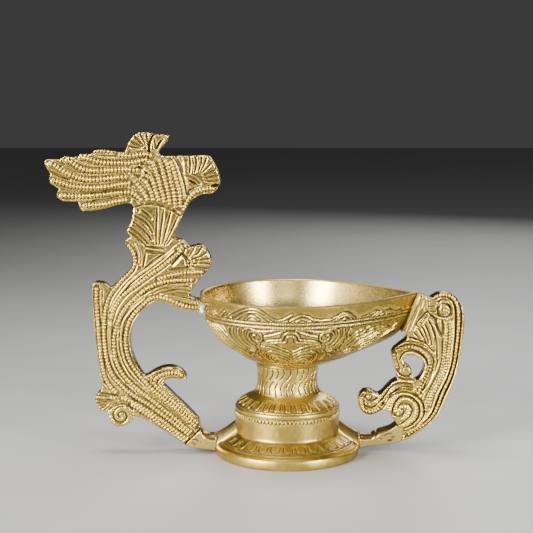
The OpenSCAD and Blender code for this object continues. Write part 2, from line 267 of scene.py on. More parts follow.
    def disc(self, cx, cz, r, top, tall):
        """A domed boss."""
        i0, i1, j0, j1 = self.window(np.array([[cx, cz]]), r)
        d = np.hypot(self.xs[i0:i1, None] - cx, self.zs[None, j0:j1] - cz) / r
        h = np.where(d < 1, top - tall * (1 - np.sqrt(np.clip(1 - d ** 2, 0, 1))), -FAR)
        self.h[i0:i1, j0:j1] = np.maximum(self.h[i0:i1, j0:j1], h)

    def draw(self, lines, raise_line, w, moat=0.7, **look):
        """Sinks the outlines of all the lines, then raises the lines, so that neighbours stay whole."""
        for line in lines:
            self.moat(line, w, moat)
        for line in lines:
            raise_line(self, line, w, **look)

    def roughen(self, coarse, fine):
        """Uneven skin of a casting, as two sizes of noise with these heights."""
        self.h += coarse * value_noise(self.h.shape, 5) + fine * value_noise(self.h.shape, 2)

    def set_outline(self, loops, reach):
        """Signed distance to the outline, in mm, positive inside and capped at reach."""
        dist = np.full(self.h.shape, float(reach))
        mask = np.zeros(self.h.shape, bool)
        for loop in loops:
            mask ^= self.inside(loop)
            found = self.near(np.vstack([loop, loop[:1]]), reach)
            part, d = found[0], found[1]
            dist[part] = np.minimum(dist[part], d)
        self.sdf = np.where(mask, dist, -dist)

    def sample(self, x, z):
        """Heights at any places, by straight interpolation."""
        u = np.clip((x - self.xs[0]) / self.step, 0, len(self.xs) - 1.001)
        v = np.clip((z - self.zs[0]) / self.step, 0, len(self.zs) - 1.001)
        i, j = u.astype(int), v.astype(int)
        a, b = u - i, v - j
        return ((self.h[i, j] * (1 - a) + self.h[i + 1, j] * a) * (1 - b)
                + (self.h[i, j + 1] * (1 - a) + self.h[i + 1, j + 1] * a) * b)

    def cavity(self, wide):
        """0 on the high points to 1 in the recesses."""
        around = blur(self.h, max(round(wide / self.step), 1))
        return np.clip((around - self.h) * 1.5 + 0.12, 0, 1)


# Marching squares. Digits are a cell's corners and letters the cuts on its sides, both anticlockwise
# from the low corner. Each case is the sum of 1, 2, 4, 8 for the corners that are inside, and its
# shapes end with the two cuts that the outline joins.
CASES = {
    1: ("0ad",), 2: ("1ba",), 4: ("2cb",), 8: ("3dc",), 3: ("01bd",), 6: ("12ca",), 12: ("23db",),
    9: ("30ac",), 7: ("012cd",), 14: ("123da",), 13: ("230ab",), 11: ("301bc",), 5: ("0ad", "2cb"),
    10: ("1ba", "3dc"), 15: ("0123",),
}
WHOLE_CELL = 15


def contour_mesh(field, layers):
    """Mesh of the grid inside the outline: 2-D points, each layer's values there, polygons, edges."""
    s = np.where(np.abs(field.sdf) < 1e-6, 1e-6, field.sdf)
    ok = s > 0
    node_id = np.full(s.shape, -1)
    node_id[ok] = np.arange(ok.sum())
    count = int(ok.sum())
    xx, zz = np.meshgrid(field.xs, field.zs, indexing="ij")
    points = [np.column_stack([xx[ok], zz[ok]])]
    values = [[layer[ok]] for layer in layers]

    def crossings(first, second):
        """Adds a point on each grid line that the outline cuts, and returns the points' numbers."""
        nonlocal count
        s0, s1 = s[first], s[second]
        cut = (s0 > 0) != (s1 > 0)
        ids = np.full(s0.shape, -1)
        ids[cut] = count + np.arange(cut.sum())
        count += int(cut.sum())
        t = np.clip(s0[cut] / (s0[cut] - s1[cut]), 0.12, 0.88)
        x0, z0 = xx[first][cut], zz[first][cut]
        x1, z1 = xx[second][cut], zz[second][cut]
        points.append(np.column_stack([x0 + t * (x1 - x0), z0 + t * (z1 - z0)]))
        for layer, found in zip(layers, values):
            found.append(np.where(s0[cut] > 0, layer[first][cut], layer[second][cut]))
        return ids

    along_x = crossings(np.s_[:-1], np.s_[1:])
    along_z = crossings(np.s_[:, :-1], np.s_[:, 1:])
    ref = {
        "0": node_id[:-1, :-1], "1": node_id[1:, :-1], "2": node_id[1:, 1:], "3": node_id[:-1, 1:],
        "a": along_x[:, :-1], "b": along_z[1:, :], "c": along_x[:, 1:], "d": along_z[:-1, :],
    }
    case = (ok[:-1, :-1] * 1 + ok[1:, :-1] * 2 + ok[1:, 1:] * 4 + ok[:-1, 1:] * 8)
    polys, edges = [], []
    for number, shapes in CASES.items():
        here = case == number
        if not here.any():
            continue
        for shape in shapes:
            polys.append(np.column_stack([ref[c][here] for c in shape]))
            if number != WHOLE_CELL:
                edges.append(polys[-1][:, -2:])
    return np.vstack(points), [np.concatenate(v) for v in values], polys, np.vstack(edges)


def node_outline(node):
    """Closed outlines of a plate node's front face, in mm from the pedestal axis."""
    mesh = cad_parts[node].data
    mesh.calc_loop_triangles()
    co = np.empty(len(mesh.vertices) * 3, np.float32)
    mesh.vertices.foreach_get("co", co)
    co = co.reshape(-1, 3).astype(float)
    tri = np.empty(len(mesh.loop_triangles) * 3, np.int32)
    mesh.loop_triangles.foreach_get("vertices", tri)
    tri = tri.reshape(-1, 3)
    y_front = co[:, 1].min()
    face = tri[np.all(co[tri][:, :, 1] < y_front + 1e-5, axis=1)]
    key = np.round(co[:, [0, 2]] / MM, 3)
    _, first, weld = np.unique(key, axis=0, return_index=True, return_inverse=True)
    face = weld.ravel()[face]
    edges = {}
    for a, b, c in face:
        for e in ((a, b), (b, c), (c, a)):
            if (e[1], e[0]) in edges:
                del edges[(e[1], e[0])]
            else:
                edges[e] = True
    follow = {a: b for a, b in edges}
    loops = []
    while follow:
        here = next(iter(follow))
        loop = []
        while here in follow:
            loop.append(here)
            here = follow.pop(here)
        xz = co[first[loop]][:, [0, 2]] / MM
        xz[:, 0] -= AXIS_X
        loops.append(xz)
    return loops


def surface_mesh(rows, closed_ends):
    """Quads over rows of rings (rows x around x 3), with a centre vertex at each closed end."""
    m, n = rows.shape[0], rows.shape[1]
    i, j = np.meshgrid(np.arange(m - 1), np.arange(n), indexing="ij")
    j2 = (j + 1) % n
    quads = np.stack([i * n + j, i * n + j2, (i + 1) * n + j2, (i + 1) * n + j], axis=-1).reshape(-1, 4)
    verts = rows.reshape(-1, 3)
    polys = [quads]
    for end in closed_ends:
        ring = np.arange(n) if end == 0 else (m - 1) * n + np.arange(n)
        centre = verts[ring].mean(axis=0)
        tip = len(verts)
        verts = np.vstack([verts, centre])
        nxt = np.roll(ring, -1)
        fan = (nxt, ring) if end == 0 else (ring, nxt)
        polys.append(np.column_stack([*fan, np.full(n, tip)]))
    return verts, polys


# ---------------------------------------------------------------- materials

class Shader:
    """Small helper to build one node material."""

    def __init__(self, name):
        self.mat = bpy.data.materials.new(name)
        self.mat.use_nodes = True
        self.tree = self.mat.node_tree
        self.bsdf = self.tree.nodes["Principled BSDF"]
        self.coords = self.node("ShaderNodeTexCoord").outputs["Object"]

    def node(self, kind, inputs=None, **settings):
        n = self.tree.nodes.new(kind)
        for key, value in settings.items():
            setattr(n, key, value)
        for key, value in (inputs or {}).items():
            self.put(n.inputs[key], value)
        return n

    def put(self, socket, value):
        if isinstance(value, bpy.types.NodeSocket):
            self.tree.links.new(value, socket)
        else:
            socket.default_value = value

    def surface(self, sockets):
        """Feeds the shader's own sockets."""
        for key, value in sockets.items():
            self.put(self.bsdf.inputs[key], value)

    def noise(self, coords, scale, detail=3.0, rough=0.55):
        n = self.node("ShaderNodeTexNoise", {"Vector": coords, "Scale": scale, "Detail": detail,
                                             "Roughness": rough})
        return n.outputs["Fac"]

    def attribute(self, name):
        return self.node("ShaderNodeAttribute", attribute_name=name).outputs["Fac"]

    def span(self, value, a, b, c=0.0, d=1.0):
        """Maps the range a to b onto c to d, clamped."""
        n = self.node("ShaderNodeMapRange", {"Value": value, "From Min": a, "From Max": b,
                                             "To Min": c, "To Max": d})
        return n.outputs["Result"]

    def clamp(self, value):
        return self.node("ShaderNodeClamp", {"Value": value}).outputs["Result"]

    def math(self, operation, a, b=0.0):
        n = self.node("ShaderNodeMath", {0: a, 1: b}, operation=operation)
        return n.outputs[0]

    def mix(self, factor, a, b):
        n = self.node("ShaderNodeMix", data_type="RGBA")
        self.put(n.inputs["Factor"], factor)
        self.put(n.inputs["A"], a if isinstance(a, bpy.types.NodeSocket) else (*a, 1))
        self.put(n.inputs["B"], b if isinstance(b, bpy.types.NodeSocket) else (*b, 1))
        return n.outputs["Result"]

    def bump(self, height, strength, distance, normal=None):
        n = self.node("ShaderNodeBump", {"Height": height, "Strength": strength,
                                         "Distance": distance})
        if normal is not None:
            self.put(n.inputs["Normal"], normal)
        return n.outputs["Normal"]


CLOUD_SCALE = 55.0  # noise scales: tarnish clouds, mottling, casting pits, lathe rings
MOTTLE_SCALE = 420.0
PIT_SCALE = 2600.0
RING_SCALE = 2400.0
RING_STRETCH = 0.0012  # how slowly the lathe rings change round the axis
PIT_DEPTH = 0.00025  # m
RING_DEPTH = 0.0002  # m
DARK = (0.030, 0.019, 0.009)  # patina in the recesses, which also serves as painted shade there
WALL_SHADE_BROWN = (0.27, 0.17, 0.05)  # painted shade on the panels' side walls and the rims of their faces


def lathe_rings(s):
    """Fine rings round the pedestal's axis, as turning leaves them."""
    to_axis = (-AXIS_X * MM, 0, 0)
    shifted = s.node("ShaderNodeVectorMath", {0: s.coords, 1: to_axis}, operation="ADD").outputs[0]
    xyz = s.node("ShaderNodeSeparateXYZ", {"Vector": shifted})
    x, y, z = xyz.outputs[0], xyz.outputs[1], xyz.outputs[2]
    radius = s.math("SQRT", s.math("ADD", s.math("MULTIPLY", x, x), s.math("MULTIPLY", y, y)))
    angle = s.math("MULTIPLY", s.math("ARCTAN2", y, x), RING_STRETCH)
    swept = s.node("ShaderNodeCombineXYZ", {0: radius, 1: angle, 2: z}).outputs[0]
    return s.noise(swept, RING_SCALE, 3.0, 0.7)


def brass(name, pale, gold, rough, patina=1.0, grain=0.5, turned=0.0, side_tone=None, calm=0.0):
    """Cast or turned brass: pale high points and dark recesses, partly buffed wear and patina and partly
    painted highlight and painted shade; tarnish clouds and fine pitting.

    The mesh attribute "side" marks the surfaces that take side_tone and lose their mottling by calm; on the
    panels' walls and on the arms' and webs' domed tops and undersides that tone is painted shade.
    """
    s = Shader(name)
    side = s.attribute("side")
    cavity = s.attribute("cavity")
    cloud = s.noise(s.coords, CLOUD_SCALE, 4.0, 0.6)
    pits = s.noise(s.coords, PIT_SCALE, 2.0, 0.6)
    mottle = s.noise(s.coords, MOTTLE_SCALE, 4.0, 0.65)
    mottle = s.math("ADD", mottle, s.math("MULTIPLY", s.math("MULTIPLY", side, calm),
                                          s.math("SUBTRACT", 0.45, mottle)))
    # High points stay pale, partly buffed wear and partly a painted highlight; recesses and tarnish clouds
    # turn gold.
    unbuffed_and_unlit = s.math("ADD", s.span(cavity, 0.02, 0.24), s.span(cloud, 0.35, 0.68, -0.25, 0.35))
    tone = s.mix(s.clamp(unbuffed_and_unlit), pale, gold)
    tone = s.mix(s.span(mottle, 0.45, 0.8, 0.0, 0.35), tone, gold)
    if side_tone:
        tone = s.mix(s.math("MULTIPLY", side, 0.85), tone, side_tone)
    uneven = s.math("MULTIPLY", s.span(mottle, 0.3, 0.75, 0.6, 1.25), patina)
    # Recesses darken towards DARK: partly the real patina in the hollows, partly painted shade.
    patina_and_shade = s.clamp(s.math("MULTIPLY", s.span(cavity, 0.2, 0.7), uneven))
    gloss = s.math("ADD", s.span(mottle, 0.3, 0.8, rough - 0.05, rough + 0.12),
                   s.math("MULTIPLY", patina_and_shade, 0.34))
    pitted = s.math("MULTIPLY", pits, s.math("SUBTRACT", 0.6, s.math("MULTIPLY", side, 0.55 * calm)))
    height = s.math("ADD", pitted, s.math("MULTIPLY", mottle, 0.5))
    normal = s.bump(height, 0.35 * grain, PIT_DEPTH)
    if turned:
        normal = s.bump(lathe_rings(s), turned, RING_DEPTH, normal)
    s.surface({"Base Color": s.mix(patina_and_shade, tone, DARK), "Metallic": s.span(patina_and_shade, 0.0, 1.0, 1.0, 0.35),
               "Roughness": gloss, "Normal": normal})
    return s.mat


def plain_metal(name, light, dull, rough, grain):
    """Solder or plated steel: two mottled greys and a fine grain."""
    s = Shader(name)
    cloud = s.noise(s.coords, 240.0, 4.0, 0.6)
    fine = s.noise(s.coords, 1900.0, 3.0, 0.6)
    s.surface({"Base Color": s.mix(s.span(cloud, 0.35, 0.65), light, dull), "Metallic": 1.0,
               "Roughness": s.span(fine, 0.3, 0.7, rough - 0.06, rough + 0.12),
               "Normal": s.bump(s.math("ADD", fine, cloud), grain, 0.0003)})
    return s.mat


panel_brass = brass("panel_brass", (0.85, 0.635, 0.145), (0.47, 0.325, 0.05), rough=0.21, side_tone=WALL_SHADE_BROWN)
# The arms' domed tops and undersides take this dark side_tone: painted shade.
arm_brass = brass("arm_brass", (0.76, 0.57, 0.17), (0.42, 0.295, 0.065), rough=0.31,
                  side_tone=(0.24, 0.16, 0.07))
braze_brass = brass("braze_brass", (0.56, 0.41, 0.12), (0.36, 0.245, 0.06), rough=0.36, grain=0.9)
bowl_brass = brass("bowl_brass", (0.75, 0.555, 0.125), (0.41, 0.285, 0.045), rough=0.27, turned=0.25,
                   side_tone=(0.76, 0.58, 0.2), calm=0.9)
pedestal_brass = brass("pedestal_brass", (0.66, 0.48, 0.115), (0.37, 0.255, 0.04), rough=0.33, turned=0.15,
                       side_tone=(0.5, 0.36, 0.17))
# The webs' brass is darker than the arms', and its dark side tone covers their domed faces: painted shade,
# for webs that sit unlit under the drum.
web_brass_painted_shade = brass("web_brass_painted_shade", (0.60, 0.45, 0.15), (0.34, 0.245, 0.075), rough=0.36, patina=0.7,
                  side_tone=(0.36, 0.26, 0.085))
solder = plain_metal("solder", (0.86, 0.86, 0.87), (0.34, 0.33, 0.34), rough=0.26, grain=0.9)
steel = plain_metal("steel", (0.52, 0.52, 0.53), (0.34, 0.33, 0.33), rough=0.3, grain=0.3)


# ---------------------------------------------------------------- panels

STEP = 0.27  # grid spacing of the panels' relief
PANEL_HALF = 5.0  # half the panels' thickness
EDGE_ROUND = 0.8  # radius of their edges
RIM_WIDTH = 0.9  # narrow raised rim along the outline
WALL_ROWS = 3  # rows of faces across the thickness
CAVITY_WIDE = 1.3  # how far round a point the recesses are judged


def panel_field(node, base, rim_top):
    """Empty relief of a panel: level ground at base, and a rim along the node's outline."""
    outline = node_outline(node)
    everything = np.vstack(outline)
    lo, hi = everything.min(axis=0) - 1.5, everything.max(axis=0) + 1.5
    f = Field(lo[0], hi[0], lo[1], hi[1], STEP, base)
    f.set_outline(outline, 8.0)
    across = (f.sdf - RIM_WIDTH / 2) / (RIM_WIDTH / 2)
    rim = rim_top - 0.8 * (1 - np.sqrt(np.clip(1 - across ** 2, 0, 1)))
    f.h = np.where((f.sdf > -0.5) & (f.sdf < RIM_WIDTH), np.maximum(f.h, rim), f.h)
    return f


def plate_object(name, field):
    """A casting with the same relief on both faces, closed by its side wall."""
    inset = np.clip(field.sdf, 0, None)
    cavity = np.clip(field.cavity(CAVITY_WIDE) * np.clip(inset / 0.5, 0, 1), 0, 1)
    rounding = EDGE_ROUND - np.sqrt(np.clip(EDGE_ROUND ** 2 - (EDGE_ROUND - inset) ** 2, 0, None))
    height = field.h - np.where(inset < EDGE_ROUND, rounding, 0)
    points, (heights, cavities), polys, edges = contour_mesh(field, (height, cavity))
    n = len(points)
    front = np.column_stack([points[:, 0], -(PANEL_HALF + heights), points[:, 1]])
    back = front * (1, -1, 1)
    rim = np.unique(edges)
    slot_of = np.full(n, -1)
    slot_of[rim] = np.arange(len(rim))
    rows = []
    for k in range(1, WALL_ROWS):
        t = k / WALL_ROWS
        rows.append(front[rim] * (1 - t) + back[rim] * t)
    verts = np.vstack([front, back] + rows)
    out = polys + [p[:, ::-1] + n for p in polys]
    ladder = [np.arange(n)] + [2 * n + k * len(rim) + slot_of for k in range(WALL_ROWS - 1)]
    ladder.append(n + np.arange(n))
    a, b = edges[:, 0], edges[:, 1]
    for lower, upper in zip(ladder[:-1], ladder[1:]):
        out.append(np.column_stack([lower[b], lower[a], upper[a], upper[b]]))
    wall = len(rim) * (WALL_ROWS - 1)
    # The rim of each face and the side wall take the dark brown side tone: painted shade.
    rim_shade = np.zeros(n)
    rim_shade[rim] = 0.9
    attrs = {"cavity": np.concatenate([cavities, cavities, np.full(wall, 0.1)]),
             "side": np.concatenate([rim_shade, rim_shade, np.ones(wall)])}
    return make_object(name, verts, out, attrs, panel_brass)


# Every row below is one line of the relief on the bird panel: the bird's wings and neck, then the
# plume that curls down from its breast to the foot.
BIRD_BEADS = """
-93.6,146.2 -88,146.6 -82,146.4 -75,146.2
-80,144.4 -74,144 -70,144.5 -66.5,144.8 -63.6,143.8
-98,143.3 -94,142.7 -90,141.5 -86,140.7 -80,140.6 -74,140.7 -69.5,141.6 -66.6,142 -64.7,140.6
-104,142.2 -101.5,140.8 -99,138.9 -96,137.6 -92,137 -84,137.2 -76,137.5 -70,137.2
-112,140.2 -109,139 -106,136.9 -101,134.6 -98,133.5 -94,132.8 -90,132.8 -82,133.6 -75.5,134
-111,132.4 -108,131.6 -102,129.9 -94,129 -86,129.3 -79,130.5 -74,131.2
-107.3,125.4 -100,124.9 -92,125.3 -84,126.3 -76,126.8 -73,126.2 -70.5,124.4 -69,122.6
-96,120.6 -88,121 -84,121.7 -79,122.8 -75.5,123.2
-72.5,132.3 -69.6,129 -67.2,125.5 -66,122.6
-69.5,134.5 -66.5,131 -64.6,127 -63.4,122.6
-66.5,137.6 -64,133 -62.2,127.5 -60.8,122.4
-63.8,141.6 -61.9,136 -60.2,130 -58.8,125 -58.2,121.6
-60.6,142.6 -59.2,138 -57.6,131.6 -56.3,126 -55.7,120.6
-57.8,142.3 -56.3,138 -55,132 -53.6,126 -53,119
-55.3,141.6 -53.8,137.5 -52.3,131.5 -50.9,125.5 -50.6,119.4
-34,128.6 -37,128.5 -40,128 -43,127 -45,125.8 -46.7,123.6 -48.2,120.6 -49.4,117.8
"""
BIRD_RIBS = """
-100,141.6 -96,140.2 -92,139.2 -86,138.8 -78,139 -71,139.2
-106,138.6 -102,136.5 -98,135.3 -92,134.9 -84,135.3 -77,135.8
-71.8,142.9 -77,142.7 -84,142.9 -88,143.3
-91,144.9 -85,144.8 -80,144.6
-100,144.1 -96,143.6
-106,123 -98,123.1 -90,123.4 -84,123.9
-97,119 -91,119.3 -85,120.2 -80,121.3
-103,132.6 -98,131.1 -92,130.8 -84,131.5
-75,129.5 -71.5,126.6 -69.5,123.4
"""
BIRD_DARK = """
-112.4,136.8 -109,135.4 -106,133.9 -103,132.8
-98,127 -92,126.6 -86,127.1 -80,128 -76,128.5
-92,122.9 -86,123.6 -80,124.6
-63.2,153.6 -64.2,151.6 -65,149 -65.2,146
-72.3,134.9 -69.7,134.3 -67,133.2
-68.4,140.2 -66,139.2
-67,136.3 -65,134.8
-70.5,138.7 -68.4,138.2
"""
PLUME_BEADS = """
-91,81.6 -91.2,76 -91,70 -90.5,62 -90.2,56 -89.8,50 -89,44 -88,39 -86.5,35.3 -84.5,32.4 -82,30
-76.2,102 -74.3,99.8 -73,97 -72.7,93.6 -74,90 -76.5,87.2 -79,84.8 -82,81 -84.5,77.5 -86.3,73 -87.3,68 \
-87.8,62 -87.7,56 -87.2,50 -86.2,44 -84.2,39 -81.4,35.5 -78,32 -74.5,29 -70,26.2 -66,23.9 -62,20.8 -58,17.7 \
-54,14.6 -50,11.3 -47.4,9.2
-50,99.2 -53,97 -56,94.5 -61,90.4 -64,88.4 -69,84.7 -72,82.5 -75,80.4 -78,77.8 -80.5,74.8 -83,70.6 -84.4,66
-40,88.9 -46,88.7 -52,87.9 -57,86.9 -62,85.2
-45,84.9 -51,85 -57,84.5 -62.5,83.1 -65,82 -68.5,80 -73,76 -77.5,71.3 -80.5,66 -82.5,60 -83.1,56 -82.9,50 \
-81.8,44.5 -79.3,39.5 -75.5,35 -71.5,31.4 -66,27 -60,22.2 -54,17.3 -49.5,13 -46.2,10.6
-42.8,71.6 -47,72.2 -51,73.2 -55,74.8 -59,76.2 -63,76.8 -66,75.6 -68,73.9 -70.5,71.6 -73,69 -75,66 \
-76.5,62.4 -77.4,58 -77.5,54 -77,50 -75.8,46 -73.5,42 -71,38.6 -68.5,35.6 -66,32.8 -62,29.4 -58,26 -54,22.5 \
-50,19 -46.5,15.6 -44,13.4
-50,38.6 -53,39.8 -57,40 -60.5,39 -63,37.3 -64.1,35.2 -62.7,32.9 -60,30.4 -56,26.9 -52,23.2 -48,19.6 \
-45,16.8 -43,15
-75.5,24.5 -72.5,22.8 -69,20.5 -66,18.5 -62.5,15.4 -60,13.6 -56,10.6 -52.5,7.8 -49.6,5.8
-80,27.6 -76,26.2 -72.5,24.6 -68,21.8 -63,18.2 -58,14.6 -53.5,10.9 -50.5,8.6 -48,7
-47.5,101.6 -50,100.6 -52.5,99.4
-43.8,94.8 -45.6,92.9 -46.8,90.9
"""
PLUME_RIBS = """
-88.9,80 -89.1,74 -88.7,67 -88.2,60
-93.1,80.6 -93.2,73 -92.8,66 -92.4,58 -91.8,50 -91,43 -90,38
-62,71.8 -66,70.3 -70,66.6 -73,62 -74.6,57 -74.9,53 -74.3,49 -72.8,44.6
-88.6,34.6 -86,32.6 -83,29.4
-82.4,28.2 -78,28 -75,26.6 -71.5,23.4 -67,20 -62,16.4 -57,12.2 -52,8.8
-50,103.4 -53,101.4 -56,98.6 -60,95.6 -64,92.4 -68,89.6 -72,86.6 -76,83 -79,79.4 -82,74.8 -84.4,70
-50.5,101.7 -54,98.9 -58,95 -62,91.8 -66,88.8 -70,85.8 -74,82.4 -77,79.4
-85.1,68 -85.7,60 -85.6,54 -85,48.5 -83.6,43.4 -81,38.8 -77.4,34.7 -73,31
-82.8,69.6 -84,66 -84.7,62 -84.8,57 -84.4,51 -83.2,45.8
-76.4,71.6 -79.4,67 -80.9,62 -81.4,56 -80.9,50 -79.2,44.4 -76.6,39.4 -73.6,36.2
-68,76 -72.4,72.6 -76,68.8 -78.4,65 -79.4,61 -79.8,56 -79.3,50.5 -77.8,45 -75,40.2 -72,36.7 -67,32 -61,27 \
-54,21 -48,15.4
-47,82.8 -52,82.7 -57,82.4 -61,81.3 -65,79.5 -68,77.4
-47,80.8 -52,81.4 -56,81 -60,80 -63.5,78.4
-45.8,78.8 -51,79.6 -56,79.1 -61,77.6 -65,75.8
-49.2,37.6 -52,38.3 -56,38.4 -59.6,37.6 -61.4,36 -61.8,34.4 -60.6,32.6 -57,29.4 -52,25 -48,21 -44.6,17.6
-67,39 -65.4,37.4 -65.6,35 -64,32.8
-66.5,38.4 -63,40.5 -59.5,41.5 -56.4,41.7 -53.4,41.2 -50.8,39.9
-74.2,19.6 -70,18.8 -66,16.6 -62,13.8 -58,11.3 -54,8.4 -51,6.4
-72.3,102.4 -71.2,99.6 -70.4,96 -70.5,93.2
-67,100.2 -63,99.5 -59,98.9
"""
LEFT_GROOVES = """
-54,143.4 -52,140.6 -50.5,137 -49.3,133 -48.4,129.5 -47.8,125.6
-52.6,143.5 -50.8,140 -49.6,136.6
-46.3,143.4 -46,139.5 -46.3,136
-43.4,143.5 -43.2,139.8 -43.8,136.4
-40.6,143.4 -41,140 -42,136.8
-38.3,143 -39.6,139.6 -41,136.6
-35.6,140.9 -38.4,138.2 -40.4,136
-33.7,138 -36.8,136.2 -39.8,135
-32.6,135 -36,134 -39.3,133.6
-32.2,132.6 -35.6,132 -38.6,132.2
-46.6,132.6 -44.5,131.3 -42.8,130.2
-48,134.6 -45,133.9 -43,132.6 -41.3,131
-41.4,130 -44,128.9 -46.2,127.8 -47.3,125.8
-32,130.4 -34,130.2 -36,130
-73,119.8 -70,120.6 -66,121.1 -62,120.9 -59,120.1 -56,118.9 -53,117.3 -50.7,115.6
-62.4,102 -62.4,108 -62,114 -61.8,119.4
-60.9,102 -60.3,108 -59.4,114 -58.8,118.8
-59.6,102 -58,108 -56.4,113.6 -55.4,117.4
-58.4,101.8 -55.6,107.6 -53.4,112.4 -52.2,115
-57.2,102.2 -54.8,105.6 -53,109.2
-69,118.3 -66.6,116.6 -64.5,114.4
-72.3,115.8 -68,113.2 -65.6,110.4 -64,107.5
-73,112.8 -69,109.6 -66.4,106.8 -64.5,104
-74.6,110.2 -71,107.6 -68.4,104.9 -66,102
-75,108.2 -72,106 -69.6,103.8 -67.5,101.5
-70.8,118.9 -70.6,117.6
-67.3,101.2 -63,100.5 -58.6,99.9
-67.6,99 -63,98.3 -58.6,97.5
-68.8,91 -68.2,94.4 -67.6,97.2
-68,90.6 -64.4,93.9 -60.2,96.9
-75.6,148.6 -72.4,147.9 -69,147.4
-74.2,151.2 -71.4,149.6 -68.4,148.2
-72.2,153.4 -70,151 -67.8,148.8
-69.2,154.3 -68.2,151.6 -67,149
-66.4,154.3 -66.2,151.6 -65.8,149.2
-63.4,153.6 -65.2,150.2 -65.3,145.6
-60,150.8 -60.9,148.6 -61.8,146.6
-58.6,151.8 -60.4,150 -61.6,147.8
-62.8,152 -62.4,149.6 -62.2,147.6
-56.4,90 -50,91 -44,91.4 -38,90.4
-55,92.4 -50.6,97.2 -49.4,96.4
-47.9,96.2 -46.9,93.8 -46.5,91.6
-49.3,97.4 -48.3,95 -47.9,92.4
-46.9,96.2 -45.4,98.6 -44.2,101.2
-46,95.6 -42.8,98 -40.8,100.8
-45.6,94.8 -41.4,96.6 -38.2,98.6
-45.2,93.9 -41,94.8 -36.9,95.3
-45.2,93 -41,93.2 -36.8,92.8
-92.3,29 -88.8,28.6 -85.4,28.2
-92.5,27 -89,26.8 -85.4,27
-92.4,25.2 -89.3,25.5 -86,26.4 -84,26.6
-91.6,23.7 -88.8,24.7 -86,25.8 -83,26
-90.3,22.3 -87.8,23.8 -85.4,25.2 -82.4,25.3
-88.3,21.4 -86.7,23 -84.4,24.4 -81.8,24.7
-91.4,30.2 -88.4,30 -85,29.4 -81.4,28.6
-86.3,21.6 -84.9,23 -82.4,24.2 -79.4,24.6 -76.5,23.6 -74.6,21.8
"""
# Levelled ground, from the crest down to the curl, then the arm that meets the bowl: height, outline.
BIRD_PATCHES = (
    (-0.15, "-76,147 -74,152 -70.5,154.6 -62.5,153.8 -56,153.4 -58.5,149.4 -61,146 -66,146.4"),
    (-0.15, "-49.5,143.8 -38,144 -34.4,140 -31.9,133 -32,129.6 -36,127 -41,128.4 -45.5,128.6 -48.4,134"),
    (-0.2, "-73,119.6 -66,121 -59,120 -51,115.6 -54,105.4 -57,102.4 -62,101.6 -68,101.4 -75.8,107.6"),
    (-0.25, "-67.4,97.6 -60.4,97 -64,93.6 -68.8,90.8"),
    (-0.1, "-55,90.6 -49.4,96 -48,91.2"),
    (-0.15, "-46.6,97 -44,101.2 -40.6,101 -37,96.6 -37,91.8 -46.4,91.4"),
    (-0.25, "-89.4,31 -91.6,29.6 -92.3,26 -91,23 -86.6,21.4 -83,24.6 -80,25.6 -80.5,28.8 -85,29.8"),
    (-0.25, "-86,20.5 -85.2,16.5 -81.5,13.9 -77,15 -74.2,18.2 -74.6,21.6 -77.5,24.4 -82.5,24"),
    (0.05, "-41.8,75.9 -47,76.2 -58,78.4 -62,78.6 -64,76.4 -58,74 -50,71 -41.8,70"),
)
FEATHER_TIPS = pts("-112.3,139.8 -103.8,141.8 -97.6,143 -110.9,132 -107,125.1 -95.8,120.3")
BEAK = "-31,130.1 -33.4,130 -35.4,129.9"
EYE = "-46.4,132.4 -44.6,131.5 -42.8,130.4"
CURL = (-80.2, 18.9)


def bird_panel():
    f = panel_field("bird_panel", base=-0.45, rim_top=-0.3)
    for level, corners in BIRD_PATCHES:
        f.patch(pts(corners), level)
    f.draw(lines_of(BIRD_RIBS), Field.rib, w=0.6, top=-0.12, tall=0.75)
    f.draw(lines_of(PLUME_RIBS), Field.rib, w=0.66, top=-0.02, tall=0.9)
    f.draw(lines_of(BIRD_BEADS), Field.beads, w=1.3, top=0.22, tall=1.4, pitch=1.65, fill=0.15)
    for x, z in FEATHER_TIPS:
        f.disc(x, z, r=1.5, top=0.2, tall=1.2)
    f.draw(lines_of(PLUME_BEADS), Field.beads, w=1.15, top=0.22, pitch=1.6)
    f.grooves(lines_of(BIRD_DARK), w=0.55, deep=1.2)
    f.grooves(lines_of(LEFT_GROOVES), w=0.55, deep=1.15, taper=0.3)
    f.groove(pts(BEAK), w=0.75, deep=2.2, taper=0.4)
    f.groove(pts(EYE), w=0.6, deep=1.3, taper=0.6)
    f.hatch("-51.6,75.2 -51.3,72.8", step=(1.35, -0.1), count=7, w=0.3, deep=0.55)
    f.groove(arc(*CURL, 4.6, 70, 620, 90, grow=-3.8), w=0.5, deep=1.15, taper=0.2)
    f.ticks(*CURL, 4.9, 6.0, range(80, 420, 20), w=0.28, deep=0.4)
    f.roughen(0.05, 0.03)
    return plate_object("bird_panel_casting", f)


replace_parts(bird_panel(), "bird_panel")


# Lines of the scroll panel's relief, in the same form.
SCROLL_BEADS = """
69,76.4 72,77.5 75,77.9 78,77 80,75 81.3,72 81.8,68 81.7,63 81.3,58 80.9,54 80.4,50 79.9,46 79.1,42 78,38 \
76.4,34 74.5,30 72.8,25 70.8,20 67.5,16 63,12.5 58,9.8
51.5,50.5 54,52 58,52.7 62,52 65,50 67.3,47.5 68.3,44.5 68,41.5 67,38.5 65,34.5 63.5,31 62.5,29.5
51.2,49.8 51,48 51.5,46 52.1,44 52.8,42
35.8,28.7 35.5,26.5 36,23.5 38,21.3 41,20.9 43.5,21.9 45.5,24
"""
SCROLL_FINE = """
75.6,64.8 75.7,58 75.2,52 74.8,46 73.7,40.6 71.6,36.2 69.7,32.4 67.6,28 66.6,24.2 66.4,21
77.9,65.4 78,58 77.4,52 76.8,46 75.8,41.4 73.9,37.2 71.6,32.8 69.4,28 68.3,23.6
51.6,20.4 52.1,23.8 54.6,26.8 58.3,26.9 61.4,24.6 62.2,21.2 60.8,17.2 57.2,14.2
"""
